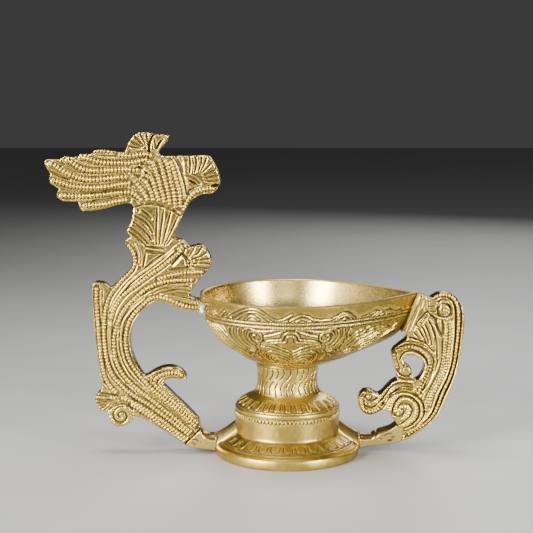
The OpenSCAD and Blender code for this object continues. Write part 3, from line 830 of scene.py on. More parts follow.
SCROLL_RIBS = """
83.6,68 83.5,64 82.9,56 82.3,50 81.9,46 81,42 80.2,38 78.5,33.2 76.9,30 75.2,26 72.7,20.4 70.5,17.6 66,13.4 \
60,9.4 55.8,7.5
71,75.4 73,76.3 75.5,76.2 77.3,75 78.5,73 79,70 79.3,64 79.3,58 78.9,52 78.4,46 77.4,41.4 75.9,37.6 74,33.6 \
72,29.6 70.6,25 69,20.4 66,16 62,12.4 56,9
73,57.5 73.1,52 72.9,46 71.6,41.4 69.7,37.4 68,33.6 66.2,30 65.4,27
71.3,57.2 71.3,52 70.8,46 70,42 68.6,37.6 67,33.4 65,30.4
68,66 70.5,61.4 72,57 72.7,52 72.5,47
66,77.2 66.2,74 66.3,71
70.5,67.6 73,66.7 75.5,67 77.3,68.5 78,70.5 77.8,72.8 76.8,74.3
"""
SCROLL_GROOVES = """
70,75.9 72,76.9 74.5,77.1 77,76.1 78.7,74.2 79.7,72 80.1,69 80.3,64 80.2,58 79.7,52 79.2,46 78.2,41.6 \
76.8,37.8 75,33.8 73.2,29.6 71.4,24.6 69.8,20.6 66.8,16.4 62.4,12.4 57,9.4
69,77.3 72,78.6 75,79 78.4,78.1 80.8,76 82.3,72.6 82.9,68 82.7,62 82.3,57 81.8,51 81.2,46 80.2,41 79,37.4 \
77.2,33.2 75.6,29.6 73.8,24.8 71.6,19.6 68.2,15.6 63.4,12 58,8.9
53.8,46 54.2,48 55.5,49.8 57.5,50.7 60,50.8 62.5,49.8 64.8,48.3 66.3,46.5 67,44.5
52,51.6 55,53.1 58,54 61,53.7 64,52.7 66.5,51 68.5,49 69.8,46.5 70.1,44 69.5,41 68.7,38 67,34 65,31.5
56.2,55.3 59,55.4 62,54.9 65,53.6 67.2,52
58.2,57.6 61,56.6 64,55.5 66.5,54 68.5,51.7 70,50.2
52.8,41 54,39.5 56,38.5 58,38.6 59.4,39.8
52.3,38.2 56,36.9 59.5,36.9 60.7,36.4
55.2,43.4 56.6,44.2 58.4,44.1 59.6,43 60,41.4
61.2,63.5 62.5,65.7 64.6,67.9 66.2,69.8 67.3,69.2 68,68.4
67.5,65 69,62 70.3,58.5 71.2,55 71.4,51 71.2,47
65.5,63.5 67,61 68.3,57 69,53.5
63.7,63 65,61 66.3,58 67.5,54.5
62.3,61.5 63.7,59.5 65.2,57 66.5,54
60.5,59.5 62,58 63.5,56.5
58.5,57.5 61,56.5 64.5,55
38.3,23.4 40,23 42,23.6 44,25.3 46,28 48,31 50,33.3 52,34.6 55,35.1 58,34.8 60.2,34.2
44.5,22.5 46,24.8 47.5,27.5 50,30 53,31.7 56,32.2 59,31.8 60.2,31.4
47,24 49,27.5 52,29.8 55,30.7 58,30.5 61,29.3 63.5,27.5 65.2,25 65.9,22.5 65.9,20 65,17.5 63.5,15.5 61,13.5 \
58,12 56,11.3
50.4,19 50.6,21.5 51.3,24 52.5,26.5 54.3,28.2 56.5,28.6 59,28.1 61.5,26.5 63.2,24 63.7,21.5 63.3,19 62,16.5 \
60,14.5 57.5,13 55.6,12.4
53.5,22.4 54,24 55.5,25 57.5,24.9 59.3,23.8 60.2,22 60,20 58.8,18 57,16.4 55,15 53.8,14.2
54.7,22.3 55.6,21.7 56,20.5 55.5,19.5 54,18.9 52.5,19 51.5,19.6
37.4,29 37.7,27.6 38.5,26.6 40,26.3 42,27 43.2,28
37,26 37.5,24.2 39,23.1 41,23 42.5,23.8
48.4,27 51.2,30.9 54.6,32.9 58.4,33.2 60.4,32.8
64.4,33.6 66.4,37.6 68,42 68.9,45
"""
SCROLL_BANDS = """
37.2,31.4 35.4,29.4 35,26.6 35.6,23.6 37.6,21 41,20.3 44,21.8 46.2,24.6
42.4,25.2 44.6,27.8 47,31 50,33.9 53,35.9 57,36 60.4,35.2
46,26.2 48.4,29.2 51,31.2 54,32.6 57.6,32.7
48.9,21 49.2,24 51.4,27.4 54,29.6 57.4,29.6 61,28.2 63.6,25.8 64.9,22.6 64.8,19.4 63.2,16.8 60,14 56.8,12.6
52.3,20.6 52.6,23.4 54.8,26.4 58.2,26.6 61,24.6 62,21.6 61.2,18.4 58.8,15.6 55.6,13.6
56.4,23.6 58.2,22.8 58.6,20.6 57.4,18.4 55,16.8
55,47.4 56.4,49.4 59,50 62,49.2 64.6,47.2 66.2,44.6 66.6,41.6 66,38.6 64.4,35.4 62.6,32.4
63.6,31.6 65.4,34.6 67.2,38.4 68.3,42
"""
SCROLL_DARK = """
68.5,67.8 70,66.6 71.2,65.6
71.8,74.3 72.8,75.6 74.4,75.9 76.6,75.5
70.4,65.4 71.6,62.4 73.3,58.6
73.9,65.4 74.2,61.8 74,58.6
"""
SHALLOW_CUTS = """
58.2,60.5 60.6,66.6 62.8,72.5
60,60.4 61.6,64.4
63.6,71.5 64.4,75.5 64.6,77.6
"""
# Levelled ground of the joint strip, fan, lower scrolls and volute: height and outline.
SCROLL_PATCHES = (
    (-0.05, "56.4,57.6 57.4,78.4 61,79 66.6,77.6 67,71 66.2,69.9 61.4,63.4 60,59.4"),
    (-0.2, "61.4,63.4 66.2,69.9 68.4,67.8 72,58 73,50 71.2,45 69,36 64,30.6 60.2,29 49.6,50.4 57,57.8"),
    (-0.2, "34,33.4 34,23 39.4,19 45.4,19.4 52,10.6 58.2,10.4 64.6,14.6 67.4,20 66.4,27 62.8,36.2"
           " 50.4,37.4 44.8,33.4"),
    (-0.3, "66.6,77.8 67,67.4 73,65.8 78.4,67 79.4,72 77.4,76.4 72,76.6"),
)
VOLUTE = (74.7, 70.3)


def scroll_panel():
    f = panel_field("scroll_panel", base=-0.3, rim_top=-0.1)
    for level, corners in SCROLL_PATCHES:
        f.patch(pts(corners), level)
    f.draw(lines_of(SCROLL_BANDS), Field.beads, w=1.02, moat=0.2, top=0.08, tall=0.9, pitch=1.35, fill=0.12)
    f.draw(lines_of(SCROLL_RIBS), Field.rib, w=0.72, top=0.1, tall=0.8)
    f.draw(lines_of(SCROLL_BEADS), Field.beads, w=1.12, top=0.2, pitch=1.55)
    f.draw(lines_of(SCROLL_FINE), Field.beads, w=1.12, moat=0.4, top=0.1, tall=1.1, pitch=1.4)
    f.disc(57.3, 41.3, r=2.3, top=0.25, tall=1.0)
    f.disc(40.0, 29.0, r=1.8, top=0.2, tall=0.9)
    f.disc(*VOLUTE, r=2.9, top=0.25, tall=0.8)
    f.grooves(lines_of(SCROLL_GROOVES), w=0.46, deep=1.15, taper=0.35)
    f.grooves(lines_of(SCROLL_DARK), w=0.6, deep=1.2)
    f.groove(arc(*VOLUTE, 3.3, 150, 400, 40), w=0.62, deep=1.4)
    f.groove(arc(*VOLUTE, 3.3, 30, 110, 16), w=0.4, deep=0.8)
    f.grooves(lines_of(SHALLOW_CUTS), w=0.4, deep=0.4, taper=0.5)
    f.groove(arc(39.4, 27.6, 2.8, 265, -70, 40, grow=-2.1), w=0.4, deep=0.9, taper=0.3)
    f.groove(arc(74.9, 70.3, 2.9, 170, 470, 50, grow=-2.2), w=0.36, deep=0.75, taper=0.4)
    f.ticks(*VOLUTE, 2.0, 2.9, range(200, 380, 30), w=0.26, deep=0.35)
    f.hatch("61.9,63.2 62.9,62.4", step=(0.56, 0.72), count=8, w=0.32, deep=1.1)
    f.hatch("67.6,74.6 70.3,74.9", step=(0, -2.3), count=3, w=0.35, deep=0.6)
    f.roughen(0.04, 0.03)
    return plate_object("scroll_panel_casting", f)


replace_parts(scroll_panel(), "scroll_panel")


# ---------------------------------------------------------------- turned surfaces

def ring_angles(around):
    """Angles round the axis, 0 at the bowl's tip and -90 at the front, with their cosines and sines."""
    turn = np.linspace(-180, 180, around, endpoint=False)
    return turn, np.cos(np.radians(turn)), np.sin(np.radians(turn))


def resample(profile, step):
    """Points along a smooth profile at an even spacing, with the distance run at each."""
    fine = smooth_line(profile, 12)
    run = np.r_[0, np.cumsum(np.hypot(*np.diff(fine[:, :2], axis=0).T))]
    n = max(2, int(run[-1] / step))
    at = np.linspace(0, run[-1], n + 1)
    return np.column_stack([np.interp(at, run, fine[:, k]) for k in range(fine.shape[1])]), at


def outward(rings):
    """Unit normals of a surface given as rows of rings."""
    along = np.gradient(rings, axis=0)
    wrapped = np.concatenate([rings[:, -1:], rings, rings[:, :1]], axis=1)
    across = np.gradient(wrapped, axis=1)[:, 1:-1]
    normal = np.cross(across, along)
    return normal / (np.linalg.norm(normal, axis=2, keepdims=True) + 1e-9)


# ---------------------------------------------------------------- bowl

TIP_ANGLE = 55.0  # degrees each side of the tip where the round end gives way to the point
BOWL_X = 2.0  # centre of the round end
RIM_RADIUS = 44.0
RIM_TIP = 61.0
JOINT_Z, JOINT_X = (59, 79.5), (54.2, 62.2)  # foot and top of the slanted joint at the tip
JOINT_LEAN = 8.0 / 20.5  # x for each mm of z along it
# Height, radius of the round end, and distance of the tip.
OUTSIDE = pts("44.7,16,17 46.4,20,23.2 49,24.8,31.2 52.3,29.7,39.8 56,34.4,47.4 60,37.9,52.8 64.5,40.6,56.6"
              " 69,42.2,58.8 74,43.3,60.2 77.6,44,61 78.35,43.9,60.9 78.7,43.5,60.4")
INSIDE = pts("78.8,42.9,59.4 78.6,42.3,58.5 78.1,41.9,57.9 74,41,56.6 69,39.7,54.8 64.5,37.7,52 60,34.7,47.8"
             " 56.5,30.9,42 53.6,26,34 51.4,20,24.5 50.2,13.5,15")
# Height and radius, from the stud's hole out over the spigot to the underside.
SPIGOT = pts("47.7,0.6 47.7,3.35 41.7,3.35 41.7,8 44.6,8 44.7,8.2")
# Chased lines round the bowl: distance along the rim from the middle of the front, depth below the rim.
# The lines of the centre are drawn again as a mirror image, and all moved by CENTRE_SHIFT.
BOWL_CENTRE = """
0,13 2.3,13.4 4,15 4.6,16.8 8,17.4 11.6,17.9 15.2,19.4
0,14.9 1.4,15.2 2.4,16.6 2.7,18.4 6.5,18.7 9.4,19 13.5,19.2
1,25 3,24 6.8,21.8 10.2,20.6 15.7,20
1,27.8 3.3,26.4 7.6,24 12,22.4 16.4,21.6
1.2,30.6 5.2,27.5 8.6,25.8 12.4,25.3 15.2,26.6 17,29 17.4,32.6 16.6,37
1.4,33.8 4.8,31 7.8,29.2 10.8,28.6 13.4,29.4 14.8,31.6 14.8,34.6 13.6,37.4
2.4,36 5.8,33.6 8.4,32.3 11,32.6 12.2,34.4 11,36.2
3.6,11.9 5,13 8,14 10.6,14.7 13.3,15.4
2.8,11.9 6,11.6 9,12 11.4,12.4 13.8,12.7 16.4,12.7 18.8,12 21.2,11.5 23.6,12.3
18.2,15 19.4,15 20,16.4 19.2,18 17.2,18.6 15.4,17.6 14.9,15.6 15.8,13.9 17.8,13.2 20,13.1 21.8,14.2 \
22.5,16.4 21.6,18.8 19.6,20.6
24.6,13 25.4,15.4 25,18.4 23.4,21 20.6,22.8
27.4,12.4 28.4,15 28.2,18 26.8,20.8 24.2,23.2 21,24.6
19,25.4 21.5,27 22.8,30 22.4,34
22.4,26 25.6,25.6 28.6,27 30.6,30
24.6,29 27.4,29.8 29,32.6
"""
BOWL_LEFT = """
-31,6.2 -28.5,5 -26,3.8 -23,2.6 -20,2 -17,2.1 -14.5,3.2 -12,5 -10,6.3 -8,7 -6,6.8 -4,6 -2,4.9 -0.8,4
-30.5,7.9 -28,7 -25.5,5.6 -23,4.2 -20.5,3.5 -17.5,3.5 -15,4.5 -13,5.8 -11.5,7
-23.5,7.2 -21,5.6 -18.6,5.6 -16.4,7
-40,7.4 -37.6,6 -35.6,4.6
-37,7.9 -34.4,6.8 -32.4,5.4
-58,7 -54,4.4 -50,3.4 -46,4.4 -42.6,6.8
-56,7.8 -53,6 -50,5.2 -47,6 -45,7.6
-32.4,12.4 -33.6,15 -33.4,18 -31.8,21 -29,23.8
-35.4,12.8 -36.4,15.4 -36,18.4 -34.2,21.6 -31.6,24.6
-47,12 -44.4,15 -42.6,18 -40.4,20.8 -38,24
-44.6,11.8 -42,14 -39.2,17 -37,19.6 -35,22.6
-41.4,12 -38.6,13.6 -37.2,16
-50,12.6 -48,15.4 -46.2,18.6 -43.6,22 -41.4,25.6
-53.4,12.6 -51.4,16 -49.6,19.6 -47,23.4 -44.4,27
-58,12.4 -56,16 -54,20 -51.4,24.4 -48.4,28.6
-62,13 -60,17 -58,21.4 -55,26 -51.4,30
-66,13 -64,18 -62,23 -58.6,28
-36,26 -33.6,28.6 -32.4,32
-40.6,28 -37.6,30.6 -36,34
-45,30 -41.6,32.6 -39.4,35.6
"""
BOWL_RIGHT = """
9.6,6.5 12.4,7 15.3,7.1 17.7,6.8 20.3,5.8 24,4.4 27,4.6 29.4,6 31.6,7.4
-1.6,7 1.2,5.4 3.6,4.4 6.2,4.9 8.4,6.2 9.8,7.2
1.4,7.4 3.6,6.2 6,6.8
19.7,7.5 22,6.4 25,5.6 27.2,5.8 28.6,6.8
23.6,7.9 25.6,7 27.4,7.6
36.4,7.6 39,7.2 42.2,6.4 44.6,5.4
43,7.9 44.6,7 46.4,5.9
45.4,8 47,7.2 49,6
49,7.9 51.4,6.8 54,6.2 57,7 60,7.9 64,7.6
52.6,7.9 54.4,7.2 56.4,7.8
30.6,12.6 29.8,15 30.8,17.6 29.8,20
29.8,24.6 29.8,22 31.2,19.6 32.6,17 34.8,15 37,14.4 39,13.6 41,13.8 43.4,12.6
30.9,25.6 32,22 34.2,18.6 36.6,16.7 39,16.5 40.8,15 43.6,15.4 46,14.2 48.6,13.8 51,13.2
33.8,25 36,21.4 37.8,19.4 40,19 42.6,18.3 45,17 47,16 49.6,15.9 52.4,15 55,14 58,13.6
37.8,24.6 41,21.6 43.6,20.6 46.5,19.8 49,18.6 51,17.2 53.6,16.6 56,15.9 59,15.6
41,24.6 44,22.8 47,21.8 50,20.8 52,19.4 53.6,18 56.4,17.4 59,16.6 62,16.4
54,20.4 57.4,20 60.5,18.6 63,16.2 65,14
46,25.4 50,23.6 54,22.6 58,21.6 62,19.6 66,17
34.6,28.6 38,27.4 42,27 46,28
39,31 43,29.6 47,30.4
50,27.4 54,25.8 58,25
52,30 56,28.4 60,27.6
"""
CENTRE_SHIFT = -1.3
CHASED_FROM, CHASED_TO = -76, 80  # ends of the chasing, along the rim
CORD_DEPTHS = (8.8, 10.7)  # the two cords under the wave border
LAST_LINE = 38.2
GROUND_TOP, GROUND_FOOT = 11.4, 37.6  # the band of ground that lies deeper


def plan(r, k, turn):
    """Teardrop outline: a circle of radius r drawn out to a point at distance k."""
    side = np.abs(turn)
    shift = (k * k - r * r) / (2 * (r - k * np.cos(np.radians(TIP_ANGLE))))
    along = shift * np.cos(np.radians(side - TIP_ANGLE))
    drawn = -along + np.sqrt(along ** 2 + r * r + 2 * r * shift)
    return np.where(side >= TIP_ANGLE, r, drawn)


def level_line(depth):
    return np.array([[CHASED_FROM, -depth], [CHASED_TO, -depth]])


def bowl_ornament():
    """Relief of the bowl's outside, unrolled: x along the rim, z down from it."""
    f = Field(CHASED_FROM, CHASED_TO, -50, 2, 0.26, -0.35)
    depth = np.broadcast_to(-f.zs[None, :], f.h.shape)
    f.h = blur(np.where((depth > GROUND_TOP) & (depth < GROUND_FOOT), -0.22, 0.0), 2)
    down = (1, -1)
    centre = lines_of(BOWL_CENTRE)
    centre += [line * (-1, 1) for line in centre]
    lines = [line * down + (CENTRE_SHIFT, 0) for line in centre]
    lines += [line * down for line in lines_of(BOWL_LEFT) + lines_of(BOWL_RIGHT)]
    f.draw(lines, Field.rib, w=0.56, moat=0.75, top=0.22, tall=0.55)
    cords = [level_line(d) for d in CORD_DEPTHS]
    f.draw(cords, Field.beads, w=0.62, moat=0.5, top=0.22, tall=0.5, pitch=1.2, fill=0.5)
    f.groove(level_line(LAST_LINE), w=0.4, deep=0.4)
    f.roughen(0.03, 0.02)
    return f


def bowl():
    around = 1080
    turn, cos, sin = ring_angles(around)

    def ring(z, r, k):
        rho = plan(r, k, turn)
        return np.column_stack([rho * cos + BOWL_X, rho * sin, np.full(around, z)])

    rim = plan(RIM_RADIUS, RIM_TIP, turn)
    run = np.r_[0, np.cumsum(np.hypot(np.diff(rim * cos), np.diff(rim * sin)))]
    run_front = np.interp(-90, turn, run)
    run_tip = np.interp(0, turn, run)
    # The back repeats the front as a mirror image.
    s = np.where(turn <= 0, run - run_front, (run_tip - (run - run_tip)) - run_front)

    ornament = bowl_ornament()
    outer, run_down = resample(OUTSIDE[::-1], 0.29)
    base = np.stack([ring(*p) for p in outer[::-1]])
    along, depth = np.meshgrid(s, run_down[::-1])
    height = ornament.sample(along, -depth)
    # Cuts deepen to the right of the middle, and all relief fades out at the lip and near the neck.
    deepen = 1.15 + 0.35 * np.clip((along - 12) / 20, 0, 1)
    fade = np.clip((depth - 0.9) / 0.8, 0, 1) * np.clip((42.5 - depth) / 3, 0, 1)
    height = np.where(height < 0, height * deepen, height) * fade

    rows = [np.column_stack([r * cos, r * sin, np.full(around, z)]) for z, r in SPIGOT]
    start = rows[-1]
    for b in (0.25, 0.5, 0.75):
        rows.append(start + (base[0] - start) * b)
    outside_from = len(rows)
    rows.extend(base + outward(base) * height[..., None])
    inside_from = len(rows)
    inner, _ = resample(INSIDE, 0.9)
    rows.extend(ring(*p) for p in inner[1:])
    last = rows[-1]
    middle = np.array([BOWL_X, 0, INSIDE[-1][0]])
    for b in (0.75, 0.5, 0.25, 0.08):
        rows.append(middle + (last - middle) * b)
    rows = np.stack(rows)
    # The tip stops at the slanted joint with the scroll panel.
    joint = np.interp(rows[..., 2], JOINT_Z, JOINT_X)
    rows[..., 0] = np.where(rows[..., 2] > 57, np.minimum(rows[..., 0], joint), rows[..., 0])
    verts, polys = surface_mesh(rows, (0, 1))
    cavity = np.zeros(rows.shape[:2])
    cavity[outside_from:inside_from] = np.clip((blur(height, 4) - height) / 0.24 + 0.3, 0, 1) * fade
    cavity = np.where((rows[..., 2] > 78.0) & (cavity < 0.6), 0.55, cavity)  # the lip is painted darker: painted shade in place of its lit top edge
    side = np.zeros(rows.shape[:2])
    side[inside_from:] = 1
    attrs = {"cavity": np.r_[cavity.ravel(), 0, 0], "side": np.r_[side.ravel(), 0, 1]}
    return make_object("bowl_vessel", verts, polys, attrs, bowl_brass)


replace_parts(bowl(), "bowl")


# ---------------------------------------------------------------- pedestal

# Radius and height, zone by zone from the floor up.
FOOT = pts("34.2,0 34.8,0.7 35,2.4 34.8,4.2 34.2,5.1 33.1,5.9")
FLARE = pts("33.1,5.9 32.4,6.2 30,7.6 27.2,9.3 25.6,10.7 25.15,11.6")
DRUM = pts("25.15,11.6 25.1,13 25.15,17 25.2,20.6 24.9,21.2")
ROLL = pts("24.9,21.2 24.75,21.7 25.1,22 25.35,22.6 25.3,23.3")
SHOULDER = pts("25.3,23.3 24.9,24.1 24,25.2 22.5,26.5 20,27.9 17.6,29.1 16,30.4")
NECK = pts("16,30.4 15,32.4 14.45,35.5 14.5,39 14.8,42 15.2,44.3 15.3,44.7")
# The inside, from the top down: socket for the bowl's spigot, stud hole, nut pocket and hollow foot.
HOLLOW = pts("15.3,44.7 8.35,44.7 8.35,41.4 3.35,41.4 3.35,37 11,37 11,31 14.5,27 20.5,25 22.2,22 22.2,10"
             " 27,6 31.4,2.6 31.4,0 34.2,0")
FLAT_X = 34.2  # the foot is flat where the arms' collars meet it
FLAT_TOP = 9.8
DASHES, PETALS, TEETH, LEAVES = 46, 30, 84, 27  # how many of each mark round the axis
TEETH_FROM = 19.3  # height where the drum's row of teeth starts
# S-shaped strokes of the neck, row by row: from, to, count, sideways bend from bottom to top, phase.
NECK_ROWS = (
    (0.8, 7.6, 31, (-0.9, -0.2, 0.2, -0.8, -2.2), 0.2),
    (8.3, 14.0, 30, (1.6, 0.4, -0.3, -0.3, 0.0), 0.6),
)


def stroke(d, w, deep):
    """Height of a cut, from the distance to its middle."""
    return -deep * np.exp(-(d / w) ** 2 * 1.4)


def swelling(d, w, tall):
    return tall * np.exp(-(d / w) ** 2)


def between(v, low, high, soft=0.5):
    return np.clip((v - low) / soft, 0, 1) * np.clip((high - v) / soft, 0, 1)


def u_shape(x, v, w):
    """Distance to a U: two straight legs at +-w, joined by a half circle at v = 0."""
    return np.where(v > w, np.abs(np.abs(x) - w), np.abs(np.hypot(x, v - w) - w))


def to_mark(ring, count, phase=0.5):
    """Distance in mm to the nearest of `count` marks round the axis."""
    cell = (ring.front * count / (2 * np.pi) + phase) % 1
    return (cell - 0.5) * 2 * np.pi * ring.r / count


def wobble(ring):
    """Uneven placing of hand-cut marks."""
    return 0.16 * np.sin(7 * ring.front) + 0.1 * np.sin(13 * ring.front + 1)


# Where the marks of a ring are cut: angles from the front, the ring's radius and height, and the
# distance run along the profile from the zone's lower end and on to its upper end.
Ring = namedtuple("Ring", "front r z run rest")


def foot_marks(ring):
    return stroke(ring.rest, 0.25, 0.25)


def flare_marks(ring):
    dash = np.abs(to_mark(ring, DASHES, phase=0.35 * np.sin(5 * ring.front))) - 0.4
    bead = ring.run - 1.0
    h = swelling(bead, 0.4, 0.3) + stroke(np.hypot(bead * 0.9, dash), 0.3, 0.22)
    h += stroke(ring.run - 1.8, 0.24, 0.4)
    x = to_mark(ring, PETALS)
    u = ring.run - 2.7 + wobble(ring)
    h += stroke(u_shape(x, u, 2.15), 0.32, 0.42) * between(u, -1, 4.6)
    return h + swelling(u_shape(x, u, 1.6), 0.45, 0.1) * between(u, -1, 4.2)


def drum_marks(ring):
    return (0.22 + stroke(to_mark(ring, TEETH), 0.36, 0.85)) * between(ring.z, TEETH_FROM, 30)


def roll_marks(ring):
    return stroke(ring.run - 0.5, 0.3, 0.25)


def shoulder_marks(ring):
    x = to_mark(ring, LEAVES)
    u = ring.run - 2.0 + wobble(ring)
    h = stroke(ring.run - 1.0, 0.22, 0.3) + stroke(u_shape(x, u, 1.5), 0.34, 0.5) * between(u, -1, 6.0)
    h += swelling(u_shape(x, u, 0.95), 0.4, 0.12) * between(u, -1, 5.6)
    return h + stroke(to_mark(ring, LEAVES, phase=0), 0.28, 0.4) * between(u, 1.6, 5.6)


def neck_marks(ring):
    h = stroke(ring.rest - 0.9, 0.3, 0.2)
    for low, high, count, bend, phase in NECK_ROWS:
        u = (ring.run - low) / (high - low)
        swing = np.interp(u, (0, 0.25, 0.5, 0.8, 1), bend) + 0.3 * np.sin(6 * ring.front + low)
        pitch = 2 * np.pi * ring.r / count
        cell = ring.front * count / (2 * np.pi) + phase + swing / pitch
        x = ((cell + 0.5) % 1 - 0.5) * pitch
        uneven = 0.5 + 0.5 * np.sin(np.floor(cell + 0.5) * 2.4)
        cut = stroke(x, 0.3, 0.5 + 0.15 * uneven)
        h = h + cut * between(u + 0.15 * uneven, 0.04, 1.04, 0.12)
    return h


ZONES = ((FOOT, foot_marks), (FLARE, flare_marks), (DRUM, drum_marks), (ROLL, roll_marks),
         (SHOULDER, shoulder_marks), (NECK, neck_marks))


def pedestal():
    around = 900
    turn, cos, sin = ring_angles(around)
    front = np.radians(turn + 90)

    def circle(r, z):
        return np.column_stack([r * cos, r * sin, np.full(around, z)])

    base, height = [], []
    for outline, marks in ZONES:
        line, run = resample(outline, 0.27)
        for (r, z), v in zip(line[:-1], run[:-1]):
            base.append(circle(r, z))
            height.append(np.zeros(around) + marks(Ring(front, r, z, v, run[-1] - v)))
    base = np.stack(base)
    height = np.stack(height)
    height += 0.02 * value_noise(height.shape, 9)
    rows = list(base + outward(base) * height[..., None])
    outside = len(rows)
    for (r0, z0), (r1, z1) in zip(HOLLOW[:-1], HOLLOW[1:]):
        long = math.hypot(r1 - r0, z1 - z0) > 1.5
        for b in (0.0, 0.06, 0.5, 0.94) if long else (0.0, 0.5):
            rows.append(circle(r0 + (r1 - r0) * b, z0 + (z1 - z0) * b))
    rows.append(rows[0])
    rows = np.stack(rows)
    flat = rows[..., 2] < FLAT_TOP
    rows[..., 0] = np.where(flat, np.clip(rows[..., 0], -FLAT_X, FLAT_X), rows[..., 0])
    verts, polys = surface_mesh(rows, ())
    cavity = np.zeros(rows.shape[:2])
    cavity[:outside] = np.clip((blur(height, 4) - height) / 0.3 + 0.1, 0, 1)
    side = np.zeros(rows.shape[:2])
    side[outside + 1:-2] = 1
    attrs = {"cavity": cavity.ravel(), "side": side.ravel()}
    return make_object("pedestal_turning", verts, polys, attrs, pedestal_brass)


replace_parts(pedestal(), "pedestal")


# ---------------------------------------------------------------- arms and webs

LEFT_MARKS = """
-45.6,9.2 -44,9.4 -42.7,8.8
-45.6,7.3 -44.2,7.3 -43,6.3
-46,5.8 -45,4.8 -43.8,4.7
-42.1,6 -41.9,5.8
-39.1,5 -38.9,4.8
"""
RIGHT_MARKS = """
46.6,8.9 48.4,9.9 50.4,10.3
50,8.4 51.7,8.4
48.5,6.9 50,7 50.4,6.6 48,6.3
44.6,7.6 45.6,7.4
"""
# Node, side, height of the domed top along x, and engraved marks.
ARMS = (
    ("left_foot_arm", -1, "-50,0.2 -46,1 -42,2.8 -38,3.8 -35,4.4", LEFT_MARKS),
    ("right_foot_arm", 1, "35,3.6 40,3 44,2.6 50,1.8 53,1 56,0.2", RIGHT_MARKS),
)
ARM_FROM = 35.0
ARM_END_GAP = 0.02
WEB_FROM, WEB_TO = 34.19, 24.25
WEB = pts("24.2,16.5 24.9,16.2 26,15.2 28,13.7 30,12.3 32,11 34.2,9.8 34.2,3 31,5.2 27.5,8 24.2,10.2")
WEB_CROWN = pts("-35,5.2 -24,4.6 24,4.6 35,5.2")
BAR_HALF = 5.0  # half the thickness of arms and webs
DOME_POINTS, SIDE_POINTS, FLOOR_POINTS = 37, 22, 9


def crossing(loops, x):
    """Lowest and highest z where the vertical line at x meets an outline."""
    zs = []
    for loop in loops:
        a, b = loop, np.roll(loop, -1, axis=0)
        hit = (a[:, 0] > x) != (b[:, 0] > x)
        zs.extend(a[hit, 1] + (x - a[hit, 0]) / (b[hit, 0] - a[hit, 0]) * (b[hit, 1] - a[hit, 1]))
    return min(zs), max(zs)


def domed_bar(name, loops, x0, x1, crown, marks, material, shape=2.0, most=0.6):
    """A bar along X with engraved flat sides and a domed top.

    shape is the dome's power (2 is an ellipse) and most its largest share of the bar's height.
    """
    left, right = min(x0, x1), max(x0, x1)
    f = Field(left - 1, right + 1, 0, 20, 0.25, 0.0)
    f.grooves(marks, w=0.3, deep=0.45, taper=0.3)
    rows, cavity = [], []
    dome_y = BAR_HALF * np.sin(np.linspace(-1, 1, DOME_POINTS) * np.pi / 2)
    dome = np.clip(1 - np.abs(dome_y / BAR_HALF) ** shape, 0, 1) ** (1 / shape)
    floor_y = np.linspace(BAR_HALF - 0.6, -BAR_HALF + 0.6, FLOOR_POINTS)
    for x in np.linspace(x0, x1, int(abs(x1 - x0) / 0.3) + 1):
        low, high = crossing(loops, float(np.clip(x, left + 0.01, right - 0.01)))
        tall = min(float(np.interp(x, crown[:, 0], crown[:, 1])), (high - low) * most)
        shoulder = high - tall
        side_z = low + (shoulder - low) * np.linspace(0, 1, SIDE_POINTS)
        cut = f.sample(np.full(SIDE_POINTS, x), side_z)
        soft = 0.5 * (1 - np.clip((side_z - low) / 0.6, 0, 1)) ** 2
        front_y = -BAR_HALF - cut + soft
        y = np.r_[front_y, dome_y[1:-1], -front_y[::-1], floor_y]
        z = np.r_[side_z, (shoulder + tall * dome)[1:-1], side_z[::-1], np.full(FLOOR_POINTS, low)]
        rows.append(np.column_stack([np.full(len(y), x), y, z]))
        cavity.append(np.r_[-cut, np.zeros(DOME_POINTS - 2), -cut[::-1], np.zeros(FLOOR_POINTS)] / 0.3)
    rows = np.stack(rows)
    cavity = np.clip(np.stack(cavity), 0, 1)
    if x1 > x0:
        rows = rows[:, ::-1]
        cavity = cavity[:, ::-1]
    # The domed top and the underside are marked as "side", so they take the material's dark side tone:
    # painted shade on the arms and webs.
    top = np.abs(rows[..., 1]) < BAR_HALF - 0.25
    rows[..., 2] += 0.06 * value_noise(rows.shape[:2], 6) * (rows[..., 2] > 1)
    verts, polys = surface_mesh(rows, (0, 1))
    attrs = {"cavity": np.r_[cavity.ravel(), 0, 0], "side": np.r_[top.ravel(), 0, 0]}
    return make_object(name, verts, polys, attrs, material)


for node, sign, crown, marks in ARMS:
    loops = node_outline(node)
    reach = float((np.vstack(loops)[:, 0] * sign).max()) - ARM_END_GAP
    arm = domed_bar(node + "_casting", loops, ARM_FROM * sign, reach * sign, pts(crown), lines_of(marks),
                    arm_brass)
    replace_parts(arm, node)
for label, sign in (("left_web", -1), ("right_web", 1)):
    domed_bar(label, [WEB * (sign, 1)], WEB_FROM * sign, WEB_TO * sign, WEB_CROWN, [],
              web_brass_painted_shade, shape=1.3, most=0.85)


# ---------------------------------------------------------------- brazed and soldered joints

LUMP_RINGS, LUMP_AROUND = 36, 64


